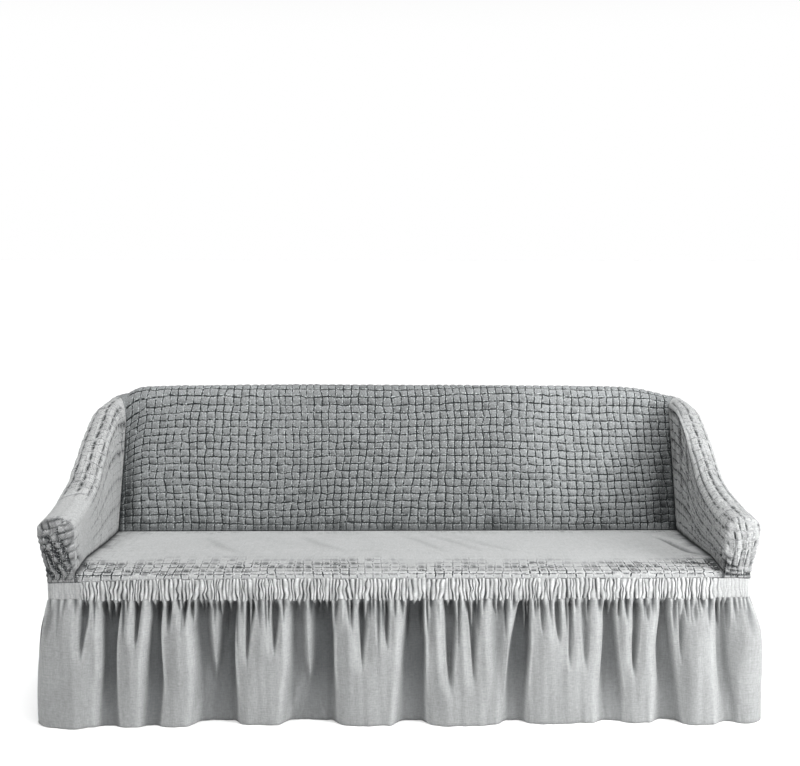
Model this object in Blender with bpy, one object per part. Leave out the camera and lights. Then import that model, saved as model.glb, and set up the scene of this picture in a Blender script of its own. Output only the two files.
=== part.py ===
"""Fitted slipcover for a three-seat sofa: crinkled stretch panels, a shirred band and a gathered skirt.

Metres, +Z up. X runs along the sofa, Y from its front to its back, and the hem lies at Z = 0.
The cover is hollow: every panel is one sheet of cloth, in the shape that it takes on the sofa.
"""

import math
from collections import namedtuple

import bmesh
import bpy

# ---- Driving dimensions -------------------------------------------------------------------

HALF_LENGTH = 1.026      # half the length of the shirred band, along X
FRONT = -0.440           # plane of the seat front and the band
REAR = 0.420             # plane of the foot of the outside back
FRONT_CORNER = 0.020     # plan radii of the band
REAR_CORNER = 0.090
SHIRRING_FOOT = 0.370    # height of the seam between band and skirt
CRINKLE = 0.002          # thickness of the crinkled cloth
PLAIN = 0.0018           # thickness of the skirt's plain cloth
SEAM_GAP = 0.0003        # each edge stands this far back from its seam
SAME_POINT = 0.00002     # vertices nearer than this are one

CREASE_Y = 0.160         # where the inside back meets the seat
CREASE_HALF = 0.940      # half the seat's length there
PIVOT_X = 0.925          # where the inside back, the arm and the top of the wing meet
PIVOT_Y = 0.262
PIVOT_HEIGHT = {-1: 0.785, 1: 0.830}

BACK_APEX_Y = 0.320      # highest line of the back
BACK_SHOULDER_Y = 0.412  # where the outside back starts to fall straight
BACK_ROLL = 0.070        # height of the rounding behind the apex
BACK_BULGE = 0.014       # the inside back swells forward by this much
ARM_ROLL = 0.030         # height of the rounding outside the arm's apex
ARM_APEX_SHARE = 0.45    # place of the apex between the arm's inner and outer edges
ARM_FRONT_ROUND = 0.016  # rounding between the arm's sides and its front face
ARM_FRONT_BULGE = 0.010
ARM_FRONT_CORE = 0.040   # the front face's centre line ends this far below its top
INNER_ROLL = 0.035       # height of the rounding inside the arm's apex, along its front half
WING_CORNER = 0.075      # plan radius of the rear corner at shoulder height
SEAT_FRONT_ROLL = 0.020
SEAT_FRONT_LIP = 0.004

# Height of the seam between the body and the band, by place along the sofa
BAND_LINE = (
    (-1.05, 0.416), (-0.90, 0.418), (-0.70, 0.424), (0.0, 0.425), (0.80, 0.424), (0.95, 0.426), (1.05, 0.424),
)

# The seat's own line from its rear crease to its front
SEAT_LINE = ((-0.42, 0.4455), (-0.30, 0.447), (-0.10, 0.442), (0.05, 0.436), (0.16, 0.430))

# Half the seat's length, by depth
SEAT_SIDE = ((-0.44, 0.944), (-0.36, 0.946), (-0.27, 0.950), (-0.15, 0.945), (0.00, 0.938), (0.16, 0.940))

Arm = namedtuple("Arm", "depth top left right inner")
ARM_ROWS = (
    # depth, height of the top, outer reach of the left and the right arm, reach of the inner edge
    Arm(-0.44, 0.604, 1.050, 1.050, 0.946),
    Arm(-0.40, 0.607, 1.050, 1.049, 0.946),
    Arm(-0.31, 0.613, 1.050, 1.046, 0.945),
    Arm(-0.23, 0.626, 1.048, 1.040, 0.944),
    Arm(-0.16, 0.643, 1.047, 1.032, 0.943),
    Arm(-0.10, 0.665, 1.041, 1.027, 0.941),
    Arm(-0.06, 0.694, 1.037, 1.023, 0.940),
    Arm(0.00, 0.735, 1.032, 1.020, 0.937),
    Arm(0.04, 0.766, 1.029, 1.017, 0.935),
    Arm(0.09, 0.796, 1.025, 1.015, 0.932),
    Arm(0.14, 0.825, 1.021, 1.011, 0.930),
    Arm(0.19, 0.846, 1.015, 1.006, 0.928),
    Arm(0.262, 0.858, 1.005, 0.996, 0.925),
)

Top = namedtuple("Top", "place height roll_foot")
BACK_ROWS = (
    # place along the back, height of the top, height where the inside back starts to round over
    Top(-0.925, 0.877, 0.785),
    Top(-0.890, 0.894, 0.812),
    Top(-0.850, 0.899, 0.832),
    Top(-0.610, 0.903, 0.845),
    Top(-0.336, 0.905, 0.848),
    Top(0.000, 0.903, 0.846),
    Top(0.350, 0.901, 0.846),
    Top(0.700, 0.897, 0.842),
    Top(0.800, 0.893, 0.838),
    Top(0.870, 0.880, 0.833),
    Top(0.925, 0.867, 0.830),
)

# How far the skirt stands out from the band, by share of its drop, and by place round the loop at the hem
SKIRT_LIP = 0.012        # share of the drop that hangs upright below the band's seam
SKIRT_FLARE = ((SKIRT_LIP, 0.0), (0.12, 0.40), (0.30, 0.78), (0.60, 1.0), (1.0, 1.0))
SKIRT_STAND = (
    (-2.80, 0.058), (-2.30, 0.066), (-1.90, 0.054), (-1.45, 0.036), (-1.20, 0.030), (-1.04, 0.036),
    (-0.94, 0.060), (-0.887, 0.045), (-0.784, 0.050), (-0.654, 0.046), (-0.40, 0.034), (-0.12, 0.043),
    (0.145, 0.045), (0.45, 0.034), (0.59, 0.024), (0.69, 0.028), (0.75, 0.026), (0.858, 0.052),
    (0.94, 0.034), (1.02, 0.042), (1.12, 0.042), (1.45, 0.038), (1.90, 0.058), (2.30, 0.068), (2.80, 0.058),
)

Fold = namedtuple("Fold", "top mid hem top_width mid_width hem_width depth hem_depth reach")
FRONT_FOLDS = (
    # place at the band, halfway and at the hem; width at the same three; depth halfway and at the hem;
    # share of the drop it reaches
    Fold(-0.912, -0.920, -0.930, 0.024, 0.026, 0.030, 0.020, 0.0, 0.55),
    Fold(-0.846, -0.843, -0.846, 0.036, 0.045, 0.056, 0.050, 0.014, 1.0),
    Fold(-0.764, -0.764, -0.764, 0.022, 0.024, 0.022, 0.030, 0.0, 0.46),
    Fold(-0.703, -0.710, -0.724, 0.024, 0.036, 0.052, 0.044, 0.022, 1.0),
    Fold(-0.586, -0.560, -0.574, 0.032, 0.056, 0.098, 0.058, 0.058, 1.0),
    Fold(-0.495, -0.501, -0.504, 0.034, 0.046, 0.082, 0.056, 0.046, 1.0),
    Fold(-0.431, -0.445, -0.460, 0.024, 0.026, 0.024, 0.030, 0.0, 0.62),
    Fold(-0.364, -0.361, -0.360, 0.026, 0.024, 0.022, 0.026, 0.0, 0.55),
    Fold(-0.294, -0.294, -0.306, 0.032, 0.040, 0.098, 0.054, 0.044, 1.0),
    Fold(-0.217, -0.215, -0.220, 0.050, 0.054, 0.080, 0.054, 0.046, 1.0),
    Fold(-0.101, -0.108, -0.085, 0.028, 0.028, 0.040, 0.030, 0.0, 0.65),
    Fold(-0.034, -0.025, -0.020, 0.022, 0.024, 0.022, 0.024, 0.0, 0.50),
    Fold(0.046, 0.042, 0.018, 0.040, 0.056, 0.086, 0.054, 0.048, 1.0),
    Fold(0.153, 0.153, 0.160, 0.034, 0.036, 0.030, 0.040, 0.0, 0.80),
    Fold(0.220, 0.226, 0.230, 0.026, 0.030, 0.028, 0.032, 0.0, 0.74),
    Fold(0.290, 0.305, 0.310, 0.030, 0.044, 0.040, 0.020, 0.0, 0.55),
    Fold(0.372, 0.357, 0.318, 0.028, 0.054, 0.122, 0.052, 0.038, 1.0),
    Fold(0.468, 0.468, 0.468, 0.024, 0.024, 0.022, 0.020, 0.0, 0.38),
    Fold(0.506, 0.500, 0.496, 0.026, 0.026, 0.026, 0.026, 0.0, 0.58),
    Fold(0.553, 0.550, 0.548, 0.028, 0.028, 0.026, 0.020, 0.0, 0.48),
    Fold(0.616, 0.614, 0.602, 0.028, 0.040, 0.072, 0.038, 0.016, 1.0),
    Fold(0.693, 0.696, 0.698, 0.024, 0.028, 0.024, 0.026, 0.0, 0.70),
    Fold(0.776, 0.776, 0.758, 0.024, 0.036, 0.066, 0.046, 0.040, 1.0),
    Fold(0.830, 0.830, 0.830, 0.024, 0.024, 0.022, 0.022, 0.0, 0.54),
    Fold(0.943, 0.953, 0.952, 0.024, 0.034, 0.058, 0.032, 0.020, 1.0),
)
RIGHT_FOLDS = (
    Fold(1.150, 1.146, 1.140, 0.030, 0.044, 0.062, 0.044, 0.034, 1.0),
    Fold(1.232, 1.232, 1.232, 0.028, 0.030, 0.026, 0.026, 0.0, 0.58),
    Fold(1.306, 1.312, 1.322, 0.034, 0.050, 0.078, 0.050, 0.044, 1.0),
    Fold(1.410, 1.404, 1.400, 0.028, 0.032, 0.028, 0.028, 0.0, 0.68),
    Fold(1.482, 1.480, 1.476, 0.034, 0.044, 0.064, 0.044, 0.030, 1.0),
    Fold(1.560, 1.562, 1.566, 0.026, 0.028, 0.026, 0.024, 0.0, 0.50),
    Fold(1.640, 1.648, 1.654, 0.036, 0.050, 0.076, 0.050, 0.042, 1.0),
    Fold(1.735, 1.735, 1.735, 0.028, 0.030, 0.028, 0.026, 0.0, 0.62),
)
LEFT_FOLDS = (
    Fold(-1.135, -1.135, -1.130, 0.030, 0.042, 0.058, 0.038, 0.026, 1.0),
    Fold(-1.215, -1.220, -1.226, 0.026, 0.028, 0.026, 0.024, 0.0, 0.52),
    Fold(-1.290, -1.290, -1.284, 0.036, 0.052, 0.078, 0.048, 0.040, 1.0),
    Fold(-1.385, -1.390, -1.396, 0.028, 0.030, 0.028, 0.024, 0.0, 0.62),
    Fold(-1.470, -1.466, -1.460, 0.032, 0.046, 0.066, 0.046, 0.032, 1.0),
    Fold(-1.570, -1.574, -1.580, 0.036, 0.048, 0.070, 0.044, 0.036, 1.0),
    Fold(-1.655, -1.655, -1.655, 0.026, 0.028, 0.026, 0.026, 0.0, 0.58),
    Fold(-1.730, -1.724, -1.716, 0.030, 0.042, 0.060, 0.042, 0.028, 1.0),
)
BACK_FOLDS = (
    Fold(1.850, 1.856, 1.862, 0.036, 0.052, 0.076, 0.048, 0.036, 1.0),
    Fold(1.985, 1.980, 1.972, 0.036, 0.056, 0.088, 0.054, 0.048, 1.0),
    Fold(2.080, 2.082, 2.082, 0.032, 0.034, 0.032, 0.028, 0.0, 0.62),
    Fold(2.170, 2.176, 2.184, 0.036, 0.054, 0.082, 0.052, 0.040, 1.0),
    Fold(2.300, 2.296, 2.290, 0.038, 0.056, 0.090, 0.056, 0.050, 1.0),
    Fold(2.400, 2.400, 2.400, 0.032, 0.034, 0.032, 0.028, 0.0, 0.58),
    Fold(2.480, 2.488, 2.494, 0.036, 0.050, 0.078, 0.046, 0.034, 1.0),
    Fold(2.610, 2.604, 2.598, 0.038, 0.056, 0.088, 0.054, 0.046, 1.0),
    Fold(2.705, 2.705, 2.705, 0.032, 0.034, 0.032, 0.026, 0.0, 0.64),
    Fold(-2.740, -2.746, -2.752, 0.036, 0.054, 0.084, 0.052, 0.044, 1.0),
    Fold(-2.640, -2.640, -2.640, 0.032, 0.034, 0.032, 0.026, 0.0, 0.54),
    Fold(-2.560, -2.552, -2.546, 0.036, 0.052, 0.080, 0.048, 0.036, 1.0),
    Fold(-2.430, -2.436, -2.440, 0.038, 0.056, 0.090, 0.054, 0.046, 1.0),
    Fold(-2.330, -2.330, -2.330, 0.032, 0.034, 0.032, 0.026, 0.0, 0.66),
    Fold(-2.250, -2.246, -2.240, 0.036, 0.052, 0.078, 0.046, 0.034, 1.0),
    Fold(-2.120, -2.126, -2.134, 0.038, 0.056, 0.088, 0.054, 0.046, 1.0),
    Fold(-2.020, -2.018, -2.016, 0.032, 0.034, 0.032, 0.028, 0.0, 0.58),
    Fold(-1.930, -1.926, -1.920, 0.036, 0.050, 0.074, 0.048, 0.036, 1.0),
    Fold(-1.820, -1.822, -1.826, 0.030, 0.040, 0.056, 0.038, 0.026, 1.0),
)
FOLDS = FRONT_FOLDS + RIGHT_FOLDS + LEFT_FOLDS + BACK_FOLDS

FOLD_LIMIT = 0.14        # no fold reaches further than this from its middle
FOLD_MID = 0.45          # share of the drop that a fold's middle values hold at
FOLD_SPREAD = 0.72       # half the reach of a fold's walls, as a share of its width
FOLD_FLOOR = 1.5         # walls this much steeper than the plain wave leave a fold a flat floor
FOLD_START = 0.17        # share of the drop by which a fold has its full depth
FOLD_RUNOUT = 0.28       # share of the drop over which a short fold runs out

# Mesh density: steps along and across each panel
ARM_STATIONS = 12
ARM_WALL_STEPS = 4
ROLL_STEPS = 3
CORNER_STEPS = 2
BACK_STEPS = 24
BACK_WALL_STEPS = 8
OUTSIDE_WALL_STEPS = 4
SEAT_STEPS = 20
SEAT_DEPTH_STEPS = 7
BAND_STEPS = 140
SKIRT_ROWS = (0.0, SKIRT_LIP, 0.09, 0.22, 0.45, 0.72, 1.0)
SKIRT_STEPS = {"front": 204, "right": 46, "left": 46, "back": 112}

# ---- Interpolation ------------------------------------------------------------------------


def through(points, x):
    """Value at x of a smooth line through (x, value) points that adds no dips or humps of its own."""
    if x <= points[0][0]:
        return points[0][1]
    if x >= points[-1][0]:
        return points[-1][1]
    spans = [(b[0] - a[0], b[1] - a[1]) for a, b in zip(points, points[1:])]
    rises = [dy / dx for dx, dy in spans]
    slopes = [rises[0]]
    for before, after in zip(rises, rises[1:]):
        slopes.append(2 * before * after / (before + after) if before * after > 0 else 0.0)
    slopes.append(rises[-1])
    k = max(i for i, point in enumerate(points[:-1]) if x >= point[0])
    width = spans[k][0]
    t = (x - points[k][0]) / width
    start = points[k][1] * (1 + 2 * t) + slopes[k] * width * t
    end = points[k + 1][1] * (3 - 2 * t) - slopes[k + 1] * width * (1 - t)
    return start * (1 - t) ** 2 + end * t * t


def column(rows, key, value):
    return [(getattr(row, key), getattr(row, value)) for row in rows]


def ease(t):
    return t * t * (3 - 2 * t)


def mix(a, b, t):
    return tuple(p + (q - p) * t for p, q in zip(a, b))


# ---- The body: one section, swept along an arm, round a rear corner and along the back ----

Section = namedtuple("Section", "foot shoulder apex pivot crease")


def seat_height(x, y):
    """Height of the seat at a place, with its front edge rolled down to an upright lip above the band."""
    roll_start = FRONT + SEAT_FRONT_ROLL
    if y >= roll_start:
        return through(SEAT_LINE, y)
    fall = min(1.0, (roll_start - y) / SEAT_FRONT_ROLL)
    lip = through(BAND_LINE, x) + SEAT_FRONT_LIP
    return lip + (through(SEAT_LINE, roll_start) - lip) * math.sqrt(1 - fall * fall)


def section_point(section, q):
    """Point of a section: q runs up the outer wall to 1, to the apex at 2, the pivot at 3 and the crease at 4."""
    foot, shoulder, apex, pivot, crease = section
    if q <= 1:
        share = ease(q)
        return (foot[0] + (shoulder[0] - foot[0]) * share, foot[1] + (shoulder[1] - foot[1]) * share,
                foot[2] + (shoulder[2] - foot[2]) * q)
    if q <= 2:
        angle = (q - 1) * math.pi / 2
        run = 1 - math.cos(angle)
        x, y, _ = mix(shoulder, apex, run)
        return x, y, shoulder[2] + (apex[2] - shoulder[2]) * math.sin(angle)
    if q <= 3:
        angle = (q - 2) * math.pi / 2
        x, y, _ = mix(apex, pivot, math.sin(angle))
        return x, y, pivot[2] + (apex[2] - pivot[2]) * math.cos(angle)
    return mix(pivot, crease, q - 3)


def arm_section(side, share):
    """Section across an arm, from its front (share 0) to the pivot (share 1)."""
    start = FRONT + ARM_FRONT_ROUND
    y = start + (PIVOT_Y - start) * share
    crease_y = start + (CREASE_Y - start) * share
    top = through(column(ARM_ROWS, "depth", "top"), y)
    outer = through(column(ARM_ROWS, "depth", "left" if side < 0 else "right"), y)
    inner = through(column(ARM_ROWS, "depth", "inner"), y)
    crease_x = through(SEAT_SIDE, crease_y)
    apex_x = inner + (outer - inner) * ARM_APEX_SHARE
    inner_roll = INNER_ROLL + (top - PIVOT_HEIGHT[side] - INNER_ROLL) * ease(max(0.0, share * 2 - 1))
    return Section(
        (side * HALF_LENGTH, y, through(BAND_LINE, side * HALF_LENGTH) + SEAM_GAP),
        (side * outer, y, top - ARM_ROLL),
        (side * apex_x, y, top),
        (side * inner, y, top - inner_roll),
        (side * crease_x, crease_y, seat_height(side * crease_x, crease_y) + SEAM_GAP),
    )


def corner_plan(side, reach, rear, radius, end_x, share):
    """Point on the outline round a rear corner, from beside the pivot (share 0) to behind it (share 1)."""
    straight = rear - radius - PIVOT_Y
    arc = radius * math.pi / 2
    last = max(0.0, reach - radius - end_x)
    along = share * (straight + arc + last)
    if along <= straight:
        return side * reach, PIVOT_Y + along
    if along <= straight + arc:
        angle = (along - straight) / radius
        return side * (reach - radius + radius * math.cos(angle)), rear - radius + radius * math.sin(angle)
    return side * (reach - radius - (along - straight - arc)), rear


def corner_section(side, share):
    """Section at a rear corner: every one starts from the same pivot."""
    arm = arm_section(side, 1.0)
    back = back_section(side * PIVOT_X)
    foot = corner_plan(side, HALF_LENGTH, REAR, REAR_CORNER, PIVOT_X, share)
    shoulder = corner_plan(side, abs(arm.shoulder[0]), BACK_SHOULDER_Y, WING_CORNER, PIVOT_X, share)
    angle = share * math.pi / 2
    apex_x = side * (PIVOT_X + (abs(arm.apex[0]) - PIVOT_X) * math.cos(angle))
    apex_y = PIVOT_Y + (BACK_APEX_Y - PIVOT_Y) * math.sin(angle)
    top = arm.apex[2] + (back.apex[2] - arm.apex[2]) * ease(share)
    shoulder_height = arm.shoulder[2] + (back.shoulder[2] - arm.shoulder[2]) * ease(share)
    return Section(
        (foot[0], foot[1], through(BAND_LINE, foot[0]) + SEAM_GAP),
        (shoulder[0], shoulder[1], shoulder_height),
        (apex_x, apex_y, top),
        arm.pivot,
        arm.crease,
    )


def back_section(x):
    """Section across the back, x being the place along it at the pivots' height."""
    top = through(column(BACK_ROWS, "place", "height"), x)
    roll_foot = through(column(BACK_ROWS, "place", "roll_foot"), x)
    return Section(
        (x, REAR, through(BAND_LINE, x) + SEAM_GAP),
        (x, BACK_SHOULDER_Y, top - BACK_ROLL),
        (x, BACK_APEX_Y, top),
        (x, PIVOT_Y, roll_foot),
        (x * CREASE_HALF / PIVOT_X, CREASE_Y, seat_height(x, CREASE_Y) + SEAM_GAP),
    )


def inset_section(section, side, inset, y):
    """A section drawn in on both sides and at the top, for the rounded edge of the arm's front."""
    foot, shoulder, apex, pivot, crease = section
    return Section(
        (foot[0] - side * inset, y, foot[2]),
        (shoulder[0] - side * inset, y, shoulder[2] - inset),
        (apex[0], y, apex[2] - inset),
        (pivot[0] + side * inset, y, pivot[2] - inset),
        (crease[0] + side * inset, y, through(BAND_LINE, crease[0]) + SEAM_GAP),
    )


def front_core(section, q):
    """Point on the upright centre line of the arm's front face that a point of its outline faces."""
    middle = (section.foot[0] + section.crease[0]) / 2
    base = through(BAND_LINE, middle) + SEAM_GAP
    head = section.apex[2] - ARM_FRONT_CORE
    climb = q if q < 1 else (1.0 if q <= 3 else 4 - q)
    bulge = ARM_FRONT_BULGE * math.sin(math.pi * climb * 0.8)
    return middle, FRONT - bulge, base + (head - base) * climb


def seam_shift(side, towards_arm):
    """Step of an edge away from the seam between an arm and the back."""
    step = SEAM_GAP * math.sqrt(2)
    return (side * step, -step, 0.0) if towards_arm else (-side * step, step, 0.0)


def add(a, b):
    return tuple(p + q for p, q in zip(a, b))


# ---- The loop that the band and the skirt follow ------------------------------------------

FRONT_RUN = HALF_LENGTH - FRONT_CORNER
FRONT_ARC = FRONT_CORNER * math.pi / 2
SIDE_RUN = (REAR - REAR_CORNER) - (FRONT + FRONT_CORNER)
REAR_ARC = REAR_CORNER * math.pi / 2
REAR_RUN = HALF_LENGTH - REAR_CORNER
HALF_LOOP = FRONT_RUN + FRONT_ARC + SIDE_RUN + REAR_ARC + REAR_RUN
FRONT_SEAM = FRONT_RUN + FRONT_ARC + 0.012
REAR_SEAM = FRONT_RUN + FRONT_ARC + SIDE_RUN - 0.012


def loop_point(place):
    """Plan point and outward direction at a distance round the band from the middle of the front."""
    side = -1 if place < 0 else 1
    left = abs(place)
    if left <= FRONT_RUN:
        return side * left, FRONT, 0.0, -1.0
    left -= FRONT_RUN
    if left <= FRONT_ARC:
        angle = left / FRONT_CORNER
        out_x, out_y = math.sin(angle), -math.cos(angle)
        x = side * (FRONT_RUN + FRONT_CORNER * out_x)
        return x, FRONT + FRONT_CORNER * (1 + out_y), side * out_x, out_y
    left -= FRONT_ARC
    if left <= SIDE_RUN:
        return side * HALF_LENGTH, FRONT + FRONT_CORNER + left, float(side), 0.0
    left -= SIDE_RUN
    if left <= REAR_ARC:
        angle = left / REAR_CORNER
        out_x, out_y = math.cos(angle), math.sin(angle)
        x = side * (REAR_RUN + REAR_CORNER * out_x)
        return x, REAR - REAR_CORNER * (1 - out_y), side * out_x, out_y
    left -= REAR_ARC
    return side * (REAR_RUN - left), REAR, 0.0, 1.0


def fold_depth(place, drop):
    """How far the folds draw the skirt in at a place and a share of its drop."""
    deepest = 0.0
    for fold in FOLDS:
        if abs(place - fold.mid) > FOLD_LIMIT or drop > fold.reach:
            continue
        centre = through(((0.0, fold.top), (FOLD_MID, fold.mid), (1.0, fold.hem)), drop)
        width = through(((0.0, fold.top_width), (FOLD_MID, fold.mid_width), (1.0, fold.hem_width)), drop)
        across = abs(place - centre) / (width * FOLD_SPREAD)
        if across >= 1:
            continue
        wall = ease(min(1.0, (1 - across) * FOLD_FLOOR))
        if fold.reach < 1:
            depth = fold.depth * ease(min(1.0, (fold.reach - drop) / FOLD_RUNOUT))
        else:
            lower = ease(max(0.0, drop - FOLD_MID) / (1 - FOLD_MID))
            depth = fold.depth + (fold.hem_depth - fold.depth) * lower
        deepest = max(deepest, depth * wall)
    return deepest


def skirt_point(place, drop):
    """Point of the skirt at a distance round the loop and a share of its drop."""
    x, y, out_x, out_y = loop_point(place)
    stand = through(SKIRT_STAND, place) * through(SKIRT_FLARE, drop)
    start = ease(min(1.0, max(0.0, drop - SKIRT_LIP) / FOLD_START))
    out = stand - fold_depth(place, drop) * start
    height = (SHIRRING_FOOT - SEAM_GAP) * (1 - drop)
    return x + out_x * out, y + out_y * out, height


# ---- Panels -------------------------------------------------------------------------------


def sheet(name, columns, rows, place, thickness, tint):
    """A panel: a grid whose vertices go where place(column, row) says, given its thickness inwards."""
    bm = bmesh.new()
    bmesh.ops.create_grid(bm, x_segments=columns, y_segments=rows, size=0.5)
    for vert in bm.verts:
        i = round((vert.co.x + 0.5) * columns)
        j = round((vert.co.y + 0.5) * rows)
        vert.co = place(i, j)
    bmesh.ops.remove_doubles(bm, verts=bm.verts, dist=SAME_POINT)
    mesh = bpy.data.meshes.new(name)
    bm.to_mesh(mesh)
    bm.free()
    mesh.shade_smooth()
    panel = bpy.data.objects.new(name, mesh)
    bpy.context.scene.collection.objects.link(panel)
    wall = panel.modifiers.new("thickness", "SOLIDIFY")
    wall.thickness = thickness
    wall.offset = -1.0
    mesh.materials.append(cloth(name, tint))
    return panel


def cloth(name, tint):
    material = bpy.data.materials.new(name + "_cloth")
    material.use_nodes = True
    shader = material.node_tree.nodes["Principled BSDF"]
    shader.inputs["Base Color"].default_value = (*tint, 1.0)
    shader.inputs["Roughness"].default_value = 0.9
    shader.inputs["Metallic"].default_value = 0.0
    return material


CRINKLE_TINT = (0.52, 0.53, 0.53)
BAND_TINT = (0.50, 0.51, 0.51)
SKIRT_TINT = (0.48, 0.49, 0.49)


def wall_steps(count, start, end):
    return [start + (end - start) * i / count for i in range(count)]


# The rounding starts with a short upright step, so that both edges of a seam there face each other
OUTER_ROLL = [1.0, 1.08] + wall_steps(ROLL_STEPS, 1, 2)[1:]


def arm(name, side):
    """One panel over the arm's front, outer side, top and inner side, up to the seam behind the wing."""
    across = (wall_steps(ARM_WALL_STEPS, 0, 1) + OUTER_ROLL
              + wall_steps(ROLL_STEPS, 2, 3) + wall_steps(ARM_WALL_STEPS, 3, 4) + [4])
    edge = arm_section(side, 0.0)
    turned = math.pi / 4
    outline = inset_section(edge, side, ARM_FRONT_ROUND, FRONT)
    rounding = inset_section(edge, side, ARM_FRONT_ROUND * (1 - math.cos(turned)),
                             FRONT + ARM_FRONT_ROUND * (1 - math.sin(turned)))
    sections = [rounding]
    sections += [arm_section(side, i / ARM_STATIONS) for i in range(ARM_STATIONS + 1)]
    sections += [corner_section(side, 0.5 * i / CORNER_STEPS) for i in range(1, CORNER_STEPS + 1)]

    def place(i, j):
        q = across[j]
        rim = section_point(outline, q)
        if i < 2:
            return mix(front_core(outline, q), rim, i / 2)
        if i == 2:
            return rim
        point = section_point(sections[i - 3], q)
        if i - 3 == len(sections) - 1 or (i - 3 > ARM_STATIONS and q >= 3):
            point = add(point, seam_shift(side, True))
        return point

    panel = sheet(name, 2 + len(sections), len(across) - 1, place, CRINKLE, CRINKLE_TINT)
    turn_out(panel, side < 0)
    return panel


def turn_out(panel, flip):
    """Flips the faces of a panel whose grid runs the other way."""
    if flip:
        panel.data.flip_normals()


def back_sections():
    """Sections from the left rear seam, along the back, to the right rear seam."""
    left = [corner_section(-1, 0.5 + 0.5 * i / CORNER_STEPS) for i in range(CORNER_STEPS)]
    middle = [back_section(-PIVOT_X + 2 * PIVOT_X * i / BACK_STEPS) for i in range(BACK_STEPS + 1)]
    right = [corner_section(1, 1 - 0.5 * i / CORNER_STEPS) for i in range(1, CORNER_STEPS + 1)]
    return left + middle + right


def back_point(sections, i, q):
    """Point of the back, its side edges stepped away from the seams to the arms."""
    point = section_point(sections[i], q)
    if 3 < q < 4:
        x = point[0] / PIVOT_X
        swell = BACK_BULGE * math.sin(math.pi * (q - 3)) * max(0.0, 1 - x ** 4)
        point = add(point, (0.0, -swell, 0.0))
    last = len(sections) - 1
    if i in (0, last) or (q >= 3 and (i <= CORNER_STEPS or i >= last - CORNER_STEPS)):
        point = add(point, seam_shift(-1 if i <= CORNER_STEPS else 1, False))
    return point


def inside_back():
    """The inside back and the top roll, down to the seam along the rear of the top."""
    across = OUTER_ROLL + wall_steps(ROLL_STEPS, 2, 3) + wall_steps(BACK_WALL_STEPS, 3, 4) + [4]
    sections = back_sections()

    def place(i, j):
        point = back_point(sections, i, across[j])
        return add(point, (0.0, 0.0, SEAM_GAP)) if j == 0 else point

    panel = sheet("inside_back", len(sections) - 1, len(across) - 1, place, CRINKLE, CRINKLE_TINT)
    turn_out(panel, True)
    return panel


def outside_back():
    """The outside back, wrapped round both rear corners."""
    sections = back_sections()

    def place(i, j):
        point = back_point(sections, i, j / OUTSIDE_WALL_STEPS)
        return add(point, (0.0, 0.0, -SEAM_GAP)) if j == OUTSIDE_WALL_STEPS else point

    panel = sheet("outside_back", len(sections) - 1, OUTSIDE_WALL_STEPS, place, CRINKLE, CRINKLE_TINT)
    turn_out(panel, True)
    return panel


def seat():
    """The seat, from the rear crease to the roll of its front edge."""
    roll_start = FRONT + SEAT_FRONT_ROLL
    run = roll_start - CREASE_Y
    depths = [CREASE_Y - SEAM_GAP + run * i / SEAT_DEPTH_STEPS for i in range(SEAT_DEPTH_STEPS)]
    depths += [roll_start - SEAT_FRONT_ROLL * math.sin(math.radians(angle)) for angle in (0, 30, 60, 90)]
    depths.append(FRONT)

    def place(i, j):
        y = depths[j]
        across = 2 * i / SEAT_STEPS - 1
        x = across * (through(SEAT_SIDE, y) - SEAM_GAP)
        if j == len(depths) - 1:
            return x, y, through(BAND_LINE, x) + SEAM_GAP
        return x, y, seat_height(x, y)

    panel = sheet("seat", SEAT_STEPS, len(depths) - 1, place, CRINKLE, CRINKLE_TINT)
    turn_out(panel, True)
    return panel


def shirred_band():
    """The elastic band, one closed loop between the body and the skirt."""

    def place(i, j):
        x, y, _, _ = loop_point(-HALF_LOOP + 2 * HALF_LOOP * (i % BAND_STEPS) / BAND_STEPS)
        return x, y, (SHIRRING_FOOT + SEAM_GAP, through(BAND_LINE, x) - SEAM_GAP)[j]

    panel = sheet("shirred_band", BAND_STEPS, 1, place, CRINKLE, BAND_TINT)
    turn_out(panel, False)
    return panel


def skirt(name, start, end, steps):
    """One width of the skirt between two upright seams."""
    first = start + SEAM_GAP
    last = end - SEAM_GAP
    rows = SKIRT_ROWS[::-1]

    def place(i, j):
        along = first + (last - first) * i / steps
        if along > HALF_LOOP:
            along -= 2 * HALF_LOOP
        return skirt_point(along, rows[j])

    panel = sheet(name, steps, len(rows) - 1, place, PLAIN, SKIRT_TINT)
    turn_out(panel, False)
    return panel


def build():
    for thing in list(bpy.data.objects):
        bpy.data.objects.remove(thing)
    arm("arm_left", -1)
    arm("arm_right", 1)
    inside_back()
    outside_back()
    seat()
    shirred_band()
    skirt("skirt_front", -FRONT_SEAM, FRONT_SEAM, SKIRT_STEPS["front"])
    skirt("skirt_right", FRONT_SEAM, REAR_SEAM, SKIRT_STEPS["right"])
    skirt("skirt_back", REAR_SEAM, 2 * HALF_LOOP - REAR_SEAM, SKIRT_STEPS["back"])
    skirt("skirt_left", -REAR_SEAM, -FRONT_SEAM, SKIRT_STEPS["left"])


build()
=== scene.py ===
import math
from types import SimpleNamespace

import bmesh
import bpy
import numpy as np
from mathutils import Matrix, Vector


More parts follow.
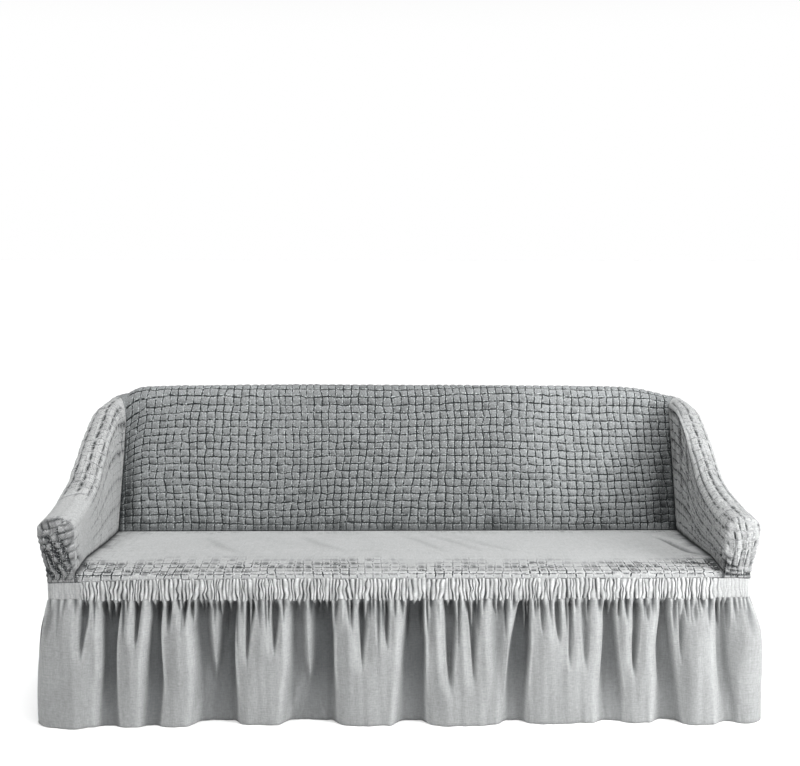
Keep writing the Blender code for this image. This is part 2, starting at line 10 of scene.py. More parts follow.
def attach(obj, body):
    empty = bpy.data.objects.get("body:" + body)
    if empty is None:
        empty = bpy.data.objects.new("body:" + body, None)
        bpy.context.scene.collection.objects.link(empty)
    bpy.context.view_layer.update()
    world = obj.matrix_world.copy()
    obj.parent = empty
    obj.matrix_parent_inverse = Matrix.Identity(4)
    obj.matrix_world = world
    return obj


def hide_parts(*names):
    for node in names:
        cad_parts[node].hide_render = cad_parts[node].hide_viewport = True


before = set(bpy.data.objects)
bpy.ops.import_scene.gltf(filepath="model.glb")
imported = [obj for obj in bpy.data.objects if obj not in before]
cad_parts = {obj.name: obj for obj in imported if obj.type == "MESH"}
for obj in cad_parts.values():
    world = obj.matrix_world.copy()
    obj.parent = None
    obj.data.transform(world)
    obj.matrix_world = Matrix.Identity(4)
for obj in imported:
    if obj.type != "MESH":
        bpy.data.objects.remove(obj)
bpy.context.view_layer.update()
scene = bpy.context.scene

# The cover's shape, in metres. X runs along the sofa, Y from its front to its back, the hem lies at Z = 0
cover = {
    "halfLength": 1.026,  # half the length of the band
    "front": -0.440,  # plane of the seat's front and the band
    "rear": 0.420,
    "frontCorner": 0.020,  # plan radii of the band
    "rearCorner": 0.090,
    "bandFoot": 0.370,  # seam between band and skirt
    "gap": 0.0003,  # each edge stands this far from its seam
    "cloth": 0.0012,
    "creaseY": 0.160,  # where the inside back meets the seat
    "creaseHalf": 0.940,
    "pivotX": 0.925,  # where inside back, arm and wing meet
    "pivotY": 0.262,
    "pivotHeight": {-1: 0.785, 1: 0.830},
    "apexY": 0.320,
    "shoulderY": 0.412,
    "backRoll": 0.070,
    "backBulge": 0.014,
    "armRoll": 0.030,
    "armApex": 0.45,
    "faceRound": 0.016,
    "faceBulge": 0.010,
    "faceCore": 0.040,
    "innerRoll": 0.035,
    "wingCorner": 0.075,
    "seatRoll": 0.020,
    "seatLip": 0.004,
    # heights of the seam above the band, and of the seat, and half the seat's length
    "bandLine": (
        (-1.05, 0.416), (-0.90, 0.418), (-0.70, 0.424), (0.0, 0.425),
        (0.80, 0.424), (0.95, 0.426), (1.05, 0.424),
    ),
    "seatLine": ((-0.42, 0.4455), (-0.30, 0.447), (-0.10, 0.442), (0.05, 0.436), (0.16, 0.430)),
    "seatSide": ((-0.44, 0.944), (-0.36, 0.946), (-0.27, 0.950), (-0.15, 0.945), (0.00, 0.938), (0.16, 0.940)),
    # depth: height of the arm's top, outer reach of the left and the right arm, reach of the inner edge
    "armRows": (
        (-0.44, 0.604, 1.050, 1.050, 0.946),
        (-0.40, 0.607, 1.050, 1.049, 0.946),
        (-0.31, 0.613, 1.050, 1.046, 0.945),
        (-0.23, 0.626, 1.048, 1.040, 0.944),
        (-0.16, 0.643, 1.047, 1.032, 0.943),
        (-0.10, 0.665, 1.041, 1.027, 0.941),
        (-0.06, 0.694, 1.037, 1.023, 0.940),
        (0.00, 0.735, 1.032, 1.020, 0.937),
        (0.04, 0.766, 1.029, 1.017, 0.935),
        (0.09, 0.796, 1.025, 1.015, 0.932),
        (0.14, 0.825, 1.021, 1.011, 0.930),
        (0.19, 0.846, 1.015, 1.006, 0.928),
        (0.262, 0.858, 1.005, 0.996, 0.925),
    ),
    # place along the back: height of its top, height where the inside back rounds over
    "backRows": (
        (-0.925, 0.877, 0.785),
        (-0.890, 0.894, 0.812),
        (-0.850, 0.899, 0.832),
        (-0.610, 0.903, 0.845),
        (-0.336, 0.905, 0.848),
        (0.000, 0.903, 0.846),
        (0.350, 0.901, 0.846),
        (0.700, 0.897, 0.842),
        (0.800, 0.893, 0.838),
        (0.870, 0.880, 0.833),
        (0.925, 0.867, 0.830),
    ),
}
front, rear, halfLength, gap = (cover[key] for key in ("front", "rear", "halfLength", "gap"))
pivotX, pivotY = cover["pivotX"], cover["pivotY"]
quarter = math.pi / 2


def through(rows, x, column=1):  # a smooth line through the rows, with no dips or humps of its own
    px, py = np.array([(row[0], row[column]) for row in rows], float).T
    width = np.diff(px)
    rise = np.diff(py) / width
    same = rise[:-1] * rise[1:] > 0
    middle = np.where(same, 2 * rise[:-1] * rise[1:] / np.where(same, rise[:-1] + rise[1:], 1), 0)
    slope = np.concatenate((rise[:1], middle, rise[-1:]))
    x = np.clip(x, px[0], px[-1])
    k = np.clip(np.searchsorted(px, x, side="right") - 1, 0, len(px) - 2)
    t = (x - px[k]) / width[k]
    start = py[k] * (1 + 2 * t) + slope[k] * width[k] * t
    end = py[k + 1] * (3 - 2 * t) - slope[k + 1] * width[k] * (1 - t)
    return start * (1 - t) ** 2 + end * t * t


def unit(t):
    return np.clip(t, 0, 1)


def ease(t):
    t = unit(t)
    return t * t * (3 - 2 * t)


def bell(x, width):  # 1 in the middle, fading to both sides
    return np.exp(-(x / width) ** 2)


def span(ends, share):
    return ends[0] + (ends[1] - ends[0]) * share


def whole(x):
    return np.floor(x).astype(int)


def nearest(x):
    return np.rint(x).astype(int)


def points(x, y, z):
    return np.stack(np.broadcast_arrays(x, y, z), axis=-1).astype(float)


def bandHeight(x):
    return through(cover["bandLine"], x)


def seatHeight(x, y):
    rollStart = front + cover["seatRoll"]
    fall = unit((rollStart - y) / cover["seatRoll"])
    lip = bandHeight(x) + cover["seatLip"]
    edge = through(cover["seatLine"], rollStart)
    rounded = lip + (edge - lip) * np.sqrt(1 - fall * fall)
    return np.where(y >= rollStart, through(cover["seatLine"], y), rounded)


# A section is five points: foot and shoulder of the outer wall, apex, pivot and crease.
# q runs from 0 to 1 up the outer wall, to 2 at the apex, 3 at the pivot and 4 at the crease
def sectionPoint(section, q):
    foot, shoulder, apex, pivot, crease = section
    q = q[..., None]

    def leg(start, end, level, upright):  # the shares of the way taken level and upright
        way = span((start, end), level)
        way[..., 2:] = span((start, end), upright)[..., 2:]
        return way

    wall = unit(q)
    over, down = [(np.clip(q, k, k + 1) - k) * quarter for k in (1, 2)]
    place = span((pivot, crease), np.clip(q, 3, 4) - 3)
    place = np.where(q <= 3, leg(apex, pivot, np.sin(down), 1 - np.cos(down)), place)
    place = np.where(q <= 2, leg(shoulder, apex, 1 - np.cos(over), np.sin(over)), place)
    return np.where(q <= 1, leg(foot, shoulder, ease(wall), wall), place)


def armSection(side, share, turn=0.0):  # turn is the angle round the edge of the arm's front face
    start = front + cover["faceRound"]
    y, creaseY = span((start, pivotY), share), span((start, cover["creaseY"]), share)
    top, inner = through(cover["armRows"], y, 1), through(cover["armRows"], y, 4)
    outer = through(cover["armRows"], y, 2 if side < 0 else 3)
    roll = span((cover["innerRoll"], top - cover["pivotHeight"][side]), ease(share * 2 - 1))
    inset, forward = cover["faceRound"] * (1 - np.cos(turn)), cover["faceRound"] * np.sin(turn)
    creaseX = through(cover["seatSide"], creaseY - forward)
    creaseZ = seatHeight(side * creaseX, creaseY - forward) + gap - cover["seatLip"] * np.sin(turn)
    return (
        points(side * (halfLength - inset), y - forward, bandHeight(side * halfLength) + gap),
        points(side * (outer - inset), y - forward, top - cover["armRoll"] - inset),
        points(side * span((inner, outer), cover["armApex"]), y - forward, top - inset),
        points(side * (inner + inset), y - forward, top - roll - inset),
        points(side * creaseX, creaseY - forward, creaseZ),
    )


def cornerPlan(side, reach, behind, radius, share):  # outline round a rear corner, from beside the pivot
    straight, arc = behind - radius - pivotY, radius * quarter
    last = max(0.0, float(np.max(reach)) - radius - pivotX)
    along = share * (straight + arc + last)
    angle = np.clip((along - straight) / radius, 0, quarter)
    x = reach - radius + radius * np.cos(angle) - np.clip(along - straight - arc, 0, None)
    y = np.where(along <= straight, pivotY + along, behind - radius + radius * np.sin(angle))
    return side * x, y


def cornerSection(side, share):  # every section at a rear corner starts from the same pivot
    arm = armSection(side, np.ones_like(share))
    back = backSection(np.full_like(share, side * pivotX))
    footX, footY = cornerPlan(side, halfLength, rear, cover["rearCorner"], share)
    reach = abs(arm[1][..., 0])
    shoulderX, shoulderY = cornerPlan(side, reach, cover["shoulderY"], cover["wingCorner"], share)
    apexX = side * span((pivotX, abs(arm[2][..., 0])), np.cos(share * quarter))
    apexY = span((pivotY, cover["apexY"]), np.sin(share * quarter))
    shoulderZ, apexZ = [span((arm[k][..., 2], back[k][..., 2]), ease(share)) for k in (1, 2)]
    return (
        points(footX, footY, bandHeight(footX) + gap),
        points(shoulderX, shoulderY, shoulderZ),
        points(apexX, apexY, apexZ),
        *arm[3:],
    )


def backSection(x):
    top = through(cover["backRows"], x, 1)
    creaseX = x * cover["creaseHalf"] / pivotX
    return (
        points(x, rear, bandHeight(x) + gap),
        points(x, cover["shoulderY"], top - cover["backRoll"]),
        points(x, cover["apexY"], top),
        points(x, pivotY, through(cover["backRows"], x, 2)),
        points(creaseX, cover["creaseY"], seatHeight(x, cover["creaseY"]) + gap),
    )


fanWidth = 0.10  # the part of the count along the back that runs round half of each rear corner


def alongBack(u, look):  # the place along the back of each column of squares
    last, fan = look["cells"][0], look["fanCells"]
    reach = pivotX + fanWidth
    return np.interp(u, [0, fan, last - fan, last], [-reach, -pivotX, pivotX, reach])


def backPoint(p, q):  # p runs along the back, past the pivots to the seams at the rear corners
    beyond = unit((np.abs(p) - pivotX) / fanWidth)
    place = sectionPoint(backSection(np.clip(p, -pivotX, pivotX)), q)
    swell = cover["backBulge"] * np.sin(math.pi * (np.clip(q, 3, 4) - 3))
    place[..., 1] -= swell * np.clip(1 - (place[..., 0] / pivotX) ** 4, 0, None)
    for side in (-1, 1):
        corner = sectionPoint(cornerSection(side, 1 - 0.5 * beyond), q)
        place = np.where((side * p > pivotX)[..., None], corner, place)
    return place


def cellSteps(cells, shares):  # places of the mesh lines, in cells, close together at the grooves
    return np.array([cell + share for cell in range(cells) for share in shares] + [cells], float)


def wander(u, v, size, wave, seed):  # a slow drift
    rng = np.random.default_rng(seed)
    total = np.zeros(np.broadcast(u, v).shape)
    for angle, stretch, phase in rng.random((6, 3)):
        length = wave * (0.6 + stretch)
        turned = u * math.cos(angle * math.pi) + v * math.sin(angle * math.pi)
        total += np.sin(2 * math.pi * (turned / length + phase))
    return size * total / math.sqrt(6)


def between(table, u, v):  # a table of values at the crossings of the lines, read in between
    i, j = whole(u), whole(v)
    s, t = u - i, v - j
    low = table[i, j] * (1 - s) + table[i + 1, j] * s
    high = table[i, j + 1] * (1 - s) + table[i + 1, j + 1] * s
    return low * (1 - t) + high * t


def lineStrength(table, line, along):  # how strong a groove is on each stretch between two crossings
    middle = along + 0.5
    k = whole(middle)
    share = unit((middle - k - 0.5) * 5 + 0.5)
    return table[line, k] * (1 - share) + table[line, k + 1] * share


# Puffed squares, wherever a panel doesn't say otherwise. A panel's "upright" and "level" lines are given by
# their weakest and strongest groove, and the shares of them that are missing and heavy
squareLook = {
    "grooveU": 0.12,  # half widths of the grooves, in squares
    "grooveV": 0.13,
    "lean": 0.0006,  # how far the squares tilt
    "fine": 0.0001,  # height of the crumple on each square
    "missing": 0.1,  # depth of a missing and of a heavy groove, as a share
    "heavy": 1.5,
    "breaks": 0,  # how much of each line fades at the crossings, and how far from them
    "crossing": 0.22,
    "swell": (0.45, 1.3),  # lowest and highest squares, as shares of the puff
    "rims": 0.5,  # painted highlight beside the grooves, its distance and half width
    "rimAway": (0.17, 0.18),
    "rimHalf": (0.07, 0.08),
    "patchy": 0.12,  # how much the squares differ in tone
    "uprightShare": 1,
    "levelShare": 1,
}


def crinkles(u, v, look, seed):  # height of the squares; painted shade in their grooves, or below 0 painted highlight beside them, with random tone per square
    look = {**squareLook, **look}
    rng = np.random.default_rng(seed)
    size = (max(int(u.max()), int(v.max())) + 4,) * 2
    strengths = []
    for weakest, strongest, missing, heavy in (look["upright"], look["level"]):
        table = rng.uniform(weakest, strongest, size)
        table = np.where(rng.random(size) < missing, look["missing"], table)
        strengths.append(np.where(rng.random(size) < heavy, look["heavy"], table))
    swell = rng.uniform(*look["swell"], size)
    leanU, leanV = rng.normal(0, 1, size), rng.normal(0, 1, size)
    i, j = whole(u), whole(v)
    lineU, lineV = nearest(u), nearest(v)
    s, t = u - i, v - j
    offU, offV = u - lineU, v - lineV
    keptU, keptV = [1 - look["breaks"] * bell(off, look["crossing"]) for off in (offV, offU)]
    strongU = lineStrength(strengths[0], lineU, v) * look["uprightShare"] * keptU
    strongV = lineStrength(strengths[1], lineV, u) * look["levelShare"] * keptV
    upright = unit(strongU * bell(offU, look["grooveU"]))
    level = unit(strongV * bell(offV, look["grooveV"]))
    groove = 1 - (1 - upright) * (1 - level)
    rimU, rimV = rng.uniform(0, 1.6, (2, *size))
    awayU, awayV = look["rimAway"]
    rims = lineStrength(rimU, lineU, v) * bell(offU + awayU, look["rimHalf"][0]) * np.minimum(strongU, 1)
    rims += lineStrength(rimV, lineV, u) * bell(offV + awayV, look["rimHalf"][1]) * np.minimum(strongV, 1)
    dome = unit(np.sin(math.pi * s) * np.sin(math.pi * t)) ** 0.6
    lean = leanU[i, j] * (s - 0.5) + leanV[i, j] * (t - 0.5)
    height = dome * (look["puff"] * swell[i, j] + look["lean"] * lean) - look["depth"] * groove
    height += look["fine"] * rng.normal(0, 1, u.shape) * dome
    # painted shade in the grooves, less the painted highlight beside them
    mark = groove - look["rims"] * np.clip(rims, 0, 1.4) * (1 - groove)
    mark += look["patchy"] * rng.normal(0, 1, size)[i, j] * (1 - groove)
    return height, mark


def outward(place, towards):  # unit normals of a grid of points, on the side that towards says
    normal = np.cross(np.gradient(place, axis=0), np.gradient(place, axis=1))
    length = np.linalg.norm(normal, axis=-1, keepdims=True)
    normal = np.where(length > 1e-12, normal / np.maximum(length, 1e-12), 0)
    return normal if np.sum(normal * towards) > 0 else -normal


def moved(u, v, look, seeds, size, holds):  # u and v, the lines moved so that no two squares are alike
    rng = np.random.default_rng(seeds[0])
    result = []
    for axis, (way, hold) in enumerate(zip((u, v), holds)):
        table = rng.normal(0, look["jitter"][axis], size)
        slow = wander(u, v, look["drift"][axis], look["wave"][axis], seeds[1] + axis)
        result.append(way + (between(table, u, v) + slow) * hold)
    return result


def panelGrid(look):  # the count of squares both ways at every mesh point, plain and with the lines moved
    cells = look["cells"]
    steps = map(cellSteps, cells, (look["columnShares"], look["rowShares"]))
    u, v = np.meshgrid(*steps, indexing="ij")
    holds = [ease(np.minimum(way, last - way) / 1.5) for way, last in zip((u, v), cells)]
    seeds = (look["seed"], look["seed"] + 11)
    return u, v, *moved(u, v, look, seeds, (cells[0] + 2, cells[1] + 2), holds)


def roomHold(place, u, v, room):  # 0 where the squares have no room, 1 where they have enough
    hold = 1.0
    for axis, (way, (full, least, rise)) in enumerate(zip((u, v), room)):
        step = np.linalg.norm(np.gradient(place, axis=axis), axis=-1)
        each = step / np.maximum(np.gradient(way, axis=axis), 1e-9)
        hold = hold * ease((each / full - least) / rise)
    return hold


def edgeHold(u, v, cells, reach=(0.35, 0.35)):  # 0 on the panel's seams, 1 a little way in
    return ease(np.minimum(u, cells[0] - u) / reach[0]) * ease(np.minimum(v, cells[1] - v) / reach[1])


def seamMark(u, v, cells, width=0.10):  # 1 on the panel's seams
    return bell(np.minimum(np.minimum(u, cells[0] - u), np.minimum(v, cells[1] - v)), width)


# Cloth: weave, slubs, colour drift, painted shade in its grooves, painted highlight beside them and a soft
# sheen
clothLook = {
    "roughness": 0.9,
    "sheen": 0.12,
    "weave": 0.0016,  # metres from thread to thread
    "toneDrift": 0.14,  # slow change of tone over the cloth
    "grain": 0.5,  # fine crumple of the cloth, in tone
    "grainSize": 130,
    "threads": 0.25,  # single thicker threads, in tone
    "crumple": 0.0014,  # height of the fine crumple
    "rim": 1.5,  # how much paler than the tint the painted highlight beside the grooves is, and the paler squares
    # short strokes of painted highlight and painted shade: distance from a square's middle, half width, how
    # many, how much is cut away
    "highlightStrokes": (0.36, 0.05, 190, 0.50),
    "shadeStrokes": (0.47, 0.055, 90, 0.42),
}


def clothMaterial(name, look):
    look = {**clothLook, **look}
    material = bpy.data.materials.new(name)
    material.use_nodes = True
    nodes, links = material.node_tree.nodes, material.node_tree.links
    shader = nodes["Principled BSDF"]
    shader.inputs["Roughness"].default_value = look["roughness"]
    shader.inputs["Sheen Weight"].default_value = look["sheen"]
    shader.inputs["Sheen Roughness"].default_value = 0.45
    shader.inputs["Specular IOR Level"].default_value = 0.2
    shader.inputs["Metallic"].default_value = 0.0

    def node(kind, inputs=(), **settings):  # a new node, its inputs linked or set
        made = nodes.new(kind)
        for key, value in settings.items():
            setattr(made, key, value)
        for key, value in dict(inputs).items():
            if isinstance(value, bpy.types.NodeSocket):
                links.new(value, made.inputs[key])
            else:
                made.inputs[key].default_value = value
        return made

    def maths(operation, *values):
        return node("ShaderNodeMath", enumerate(values), operation=operation).outputs[0]

    def noise(vector, scale, detail, stretch=(1, 1, 1)):
        vector = node("ShaderNodeMapping", {"Vector": vector, "Scale": stretch}).outputs["Vector"]
        return node("ShaderNodeTexNoise", {"Vector": vector, "Scale": scale, "Detail": detail}).outputs["Fac"]

    def mixed(factor, first, second, kind="MIX"):
        inputs = {0: factor, 6: first, 7: second}
        return node("ShaderNodeMix", inputs, data_type="RGBA", blend_type=kind).outputs[2]

    uv = node("ShaderNodeUVMap", uv_map="cloth").outputs["UV"]
    place = node("ShaderNodeTexCoord").outputs["Object"]
    weave = {"Vector": uv, "Scale": 0.314 / look["weave"], "Distortion": 0.8, "Detail": 1.0}
    waves = [node("ShaderNodeTexWave", weave, wave_type="BANDS", bands_direction=way) for way in "XY"]
    knit = maths("MULTIPLY", *(wave.outputs["Fac"] for wave in waves))
    grain = noise(place, look["grainSize"], 3)
    tone = 1 - 0.5 * look["toneDrift"] - 0.5 * look["grain"] - look["threads"]
    warp, weft = [noise(uv, 1, 2, stretch) for stretch in ((330, 34, 1), (34, 330, 1))]
    parts = ((noise(place, 9, 4), "toneDrift"), (grain, "grain"), (warp, "threads"), (weft, "threads"))
    for part, share in parts:
        tone = maths("ADD", maths("MULTIPLY", part, look[share]), tone)
    # the groove attribute paints shade where it is above 0 and highlight where it is below 0, with random
    # paler and darker squares
    groove = node("ShaderNodeAttribute", attribute_name="groove").outputs["Fac"]
    tint, dark = (*look["tint"], 1), (*look["shadeAndPatchTint"], 1)
    rim = (*(min(1.0, channel * look["rim"]) for channel in look["tint"]), 1)
    colour = mixed(maths("MULTIPLY", groove, -1.0), mixed(groove, tint, dark), rim)
    if "cell" in look:  # short strokes of painted highlight and painted shade along the sides of the squares
        fine = node("ShaderNodeAttribute", attribute_name="fine").outputs["Fac"]
        scale = (1 / look["cell"][0], 1 / look["cell"][1], 1)
        squares = node("ShaderNodeMapping", {"Vector": uv, "Scale": scale}).outputs["Vector"]
        within = node("ShaderNodeVectorMath", {0: squares}, operation="FRACTION").outputs[0]
        axes = node("ShaderNodeSeparateXYZ", {0: within})
        aways = [maths("ABSOLUTE", maths("SUBTRACT", axes.outputs[axis], 0.5)) for axis in "XY"]

        def strokes(vector, near, half, size, cut):
            lines = [maths("COMPARE", away, near, half) for away in aways]
            broken = maths("MULTIPLY", maths("SUBTRACT", noise(vector, size, 2), cut), 9)
            broken = maths("MINIMUM", maths("MAXIMUM", broken, 0), 1)
            return maths("MULTIPLY", maths("MULTIPLY", maths("MAXIMUM", *lines), broken), fine)

        paler, darker = strokes(uv, *look["highlightStrokes"]), strokes(place, *look["shadeStrokes"])
        colour = mixed(maths("MULTIPLY", paler, look["strokes"][0]), colour, rim)
        colour = mixed(maths("MULTIPLY", darker, look["strokes"][1]), colour, dark)
    links.new(mixed(1, colour, tone, "MULTIPLY"), shader.inputs["Base Color"])
    height = maths("ADD", maths("MULTIPLY", knit, 0.25), grain)
    bump = node("ShaderNodeBump", {"Height": height, "Strength": 0.6, "Distance": look["crumple"]})
    links.new(bump.outputs["Normal"], shader.inputs["Normal"])
    return material


def clothPiece(name, look, place, flat, facing, groove, fine=None):  # a sheet through a grid of points
    columns, rows = place.shape[0] - 1, place.shape[1] - 1
    bm = bmesh.new()
    bmesh.ops.create_grid(bm, x_segments=columns, y_segments=rows, size=0.5)
    mesh = bpy.data.meshes.new(name)
    bm.to_mesh(mesh)
    bm.free()

    def read(parts, key, count, kind=np.float32):
        values = np.empty(len(parts) * count, kind)
        parts.foreach_get(key, values)
        return values.reshape(-1, count)

    grid = read(mesh.vertices, "co", 3)
    i, j = nearest((grid[:, 0] + 0.5) * columns), nearest((grid[:, 1] + 0.5) * rows)
    mesh.vertices.foreach_set("co", place[i, j].astype(np.float32).ravel())
    corner = read(mesh.loops, "vertex_index", 1, np.int32)[:, 0]
    uv = mesh.uv_layers.new(name="cloth")
    uv.data.foreach_set("uv", flat[i, j].astype(np.float32)[corner].ravel())
    for key, values in (("groove", groove), ("fine", fine)):
        if values is not None:
            marks = mesh.attributes.new(key, "FLOAT", "POINT")
            marks.data.foreach_set("value", values[i, j].astype(np.float32))
    bm = bmesh.new()
    bm.from_mesh(mesh)
    bmesh.ops.remove_doubles(bm, verts=bm.verts, dist=0.00002)
    bm.to_mesh(mesh)
    bm.free()
    direction, spread = facing  # the way the cloth's outer side looks, and how it turns with the place
    towards = np.array(direction) + np.array(spread) * read(mesh.polygons, "center", 3)
    if np.sum(read(mesh.polygons, "normal", 3) * towards) < 0:
        mesh.flip_normals()
    piece = bpy.data.objects.new(name, mesh)
    scene.collection.objects.link(piece)
    mesh.materials.append(clothMaterial(name, look))
    mesh.shade_smooth()
    wall = piece.modifiers.new("cloth", "SOLIDIFY")
    wall.thickness = cover["cloth"]
    wall.offset = -1.0
    return piece


def finishPiece(piece, node):
    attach(piece, "root")
    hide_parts(node)
    print(piece.name, "done,", len(piece.data.polygons), "faces")


def panelPiece(name, look, u, v, place, direction, groove, fine):
    flat = np.stack((u * look["cell"][0], v * look["cell"][1]), -1)
    return clothPiece(name, look, place, flat, (direction, 0), groove, fine)


# Inside back: puffed squares from the crease up over the top roll
insideBack = {
    "cells": (80, 25),
    "fanCells": 4,  # columns at each end that run round the corner
    "wallRows": 17,
    "rollRows": 3,
    "columnShares": (0, 0.13, 0.34, 0.66, 0.83),
    "rowShares": (0, 0.16, 0.50, 0.82),
    "upright": (0.5, 0.9, 0.05, 0.14),
    "level": (0.5, 0.9, 0.03, 0.07),
    "puff": 0.0019,
    "depth": 0.0021,
    "lean": 0.0008,
    "fine": 0.00014,
    "rims": 0.8,
    "patchy": 0.13,
    "room": ((0.0257, 0.25, 0.5), (0.0257, 0.25, 0.5)),
    "jitter": (0.09, 0.07),
    "drift": (0.42, 0.20),
    "wave": (20, 24),
    "wedgeDepth": 0.010,
    # painted shade in the hollows beside the arms
    "wedgeShade": 0.62,
    "wedgeTop": 0.008,  # width of the hollows beside the arms, at their top and at the crease
    "wedgeFoot": {-1: 0.042, 1: 0.080},
    "slitShadow": (0.008, 0.010),  # width of the painted shadow line along the arms, where the back runs in behind them, and its gain towards the crease
    "rollLight": 0.05,  # painted light: how much paler the top roll is, where it faces up
    "endsLight": {-1: 0.16, 1: 0.288},  # painted light: how much paler the cloth is towards its ends, against the shade beside the arms
    "footShade": 0.6,  # painted shade in the ragged row along the crease
    # painted shade along the seams
    "seamShade": 0.7,
    "stand": 0.0009,  # how far the cloth stands off its plain shape
    "unevenness": (0.34, 0.26),  # slow change of the upright and the level grooves
    "leftCalm": 0.45,  # how much weaker the upright grooves are at the left end
    "cell": (0.0257, 0.0257),
    "strokes": (1.0, 1.0),
    # painted shade: this cloth is tinted darker than the other pieces of the same cloth
    "tint": (0.238, 0.249, 0.251),
    "shadeAndPatchTint": (0.022, 0.025, 0.026),
    "grain": 1.5,
    "grainSize": 230,
    "crumple": 0.0026,
    "rim": 2.1,
    "seed": 7,
}


def makeInsideBack():
    look = insideBack
    cells = look["cells"]
    u, v, uMoved, vMoved = panelGrid(look)
    p = alongBack(uMoved, look)
    wall = look["wallRows"]
    q = np.interp(vMoved, [0, wall, wall + look["rollRows"], cells[1]], [4, 3, 2, 1])
    place = backPoint(p, q)
    down = 1 - unit(4 - q)  # 0 at the top of the wall, 1 at the crease
    # painted shade in the hollows beside the arms, and a painted shadow line where the back runs in behind
    # them
    shade = np.zeros_like(p)
    for side in (-1, 1):
        away = pivotX - side * p
        width = look["wedgeTop"] + look["wedgeFoot"][side] * down ** 0.8
        hollow = bell(away - width * 0.5, width * 0.6) * ease(away / 0.02) * (q > 3)
        hollow = hollow * ease(down * 1.6) * ease((1 - down) / 0.06)
        place[..., 1] += look["wedgeDepth"] * hollow
        slitShadow = bell(away, look["slitShadow"][0] + look["slitShadow"][1] * down) * (away > -0.004)
        shade = np.maximum(shade, np.maximum(look["wedgeShade"] * hollow, slitShadow * ease((down - 0.07) / 0.15)))
    leftEnd = look["leftCalm"] * ease((-0.30 - p) / 0.25) * ease((v - 3) / 4)
    slowUpright, slowLevel = look["unevenness"]
    uprights = 0.92 + slowUpright * wander(u, v, 1, 18, 51) + 0.35 * bell(v, 4) - leftEnd
    levels = 0.95 + slowLevel * wander(u, v, 1, 22, 52)
    shares = {"uprightShare": np.clip(uprights, 0.12, 1.35), "levelShare": np.clip(levels, 0.3, 1.3)}
    relief, groove = crinkles(u, v, {**look, **shares}, look["seed"])
    hold = edgeHold(u, v, cells) * roomHold(place, u, v, look["room"])
    rng = np.random.default_rng(look["seed"] + 3)
    # painted shade in a ragged row along the crease
    ragged = rng.uniform(0.2, 1.0, cells[0] + 2)[np.clip(whole(u + 0.3), 0, cells[0])]
    foot = bell(v, 0.4 + 1.6 * ragged) * look["footShade"] * (0.4 + 0.6 * ragged)
    # painted light on the top roll and towards the ends
    ends = np.where(p > 0, look["endsLight"][1], look["endsLight"][-1])
    shade = np.maximum(shade, foot) - look["rollLight"] * ease((2.7 - q) / 0.5)
    shade -= ends * ease((np.abs(p) - 0.3) / 0.25) * (1 - ease((np.abs(p) - 0.80) / 0.1))
    place += outward(place, np.array([0.0, -1.0, 1.0])) * ((relief + look["stand"]) * hold)[..., None]
    # painted shade in the grooves and along the seams
    groove = np.clip(np.maximum(groove * hold, look["seamShade"] * seamMark(u, v, cells)) + shade, -1, 1)
    fine = hold * (1 - unit(shade))
    piece = panelPiece("inside_back_cloth", look, u, v, place, (0, -1, 1), groove, fine)
    finishPiece(piece, "inside_back")


# Outside back: larger, calmer squares, wrapped round both rear corners
outsideBack = {
    "cells": (84, 16),
    "fanCells": 6,
    "columnShares": (0, 0.12, 0.50, 0.88),
    "rowShares": (0, 0.14, 0.50, 0.86),
    "upright": (0.3, 1.0, 0.10, 0.15),
    "level": (0.4, 1.0, 0.06, 0.06),
    "puff": 0.0015,
    "depth": 0.0016,
    "jitter": (0.09, 0.08),
    "drift": (0.25, 0.15),
    "wave": (14, 9),
    "seamShade": 0.6,
    "stand": 0.0007,
    "cell": (0.0257, 0.0257),
    "strokes": (0.6, 0.6),
    "tint": (0.31, 0.317, 0.317),
    "shadeAndPatchTint": (0.06, 0.064, 0.066),
    "grain": 1.0,
    "grainSize": 200,
    "rim": 1.7,
    "seed": 23,
}


def makeOutsideBack():
    look = outsideBack
    cells = look["cells"]
    u, v, uMoved, vMoved = panelGrid(look)
    place = backPoint(alongBack(uMoved, look), np.interp(vMoved, [0, cells[1]], [0, 1]))
    relief, groove = crinkles(u, v, look, look["seed"])
    hold = edgeHold(u, v, cells)
    place += outward(place, np.array([0.0, 1.0, 0.0])) * ((relief + look["stand"]) * hold)[..., None]
    # painted shade in the grooves and along the seams
    groove = np.clip(np.maximum(groove * hold, look["seamShade"] * seamMark(u, v, cells)), -1, 1)
    piece = panelPiece("outside_back_cloth", look, u, v, place, (0, 1, 0), groove, hold)
    finishPiece(piece, "outside_back")
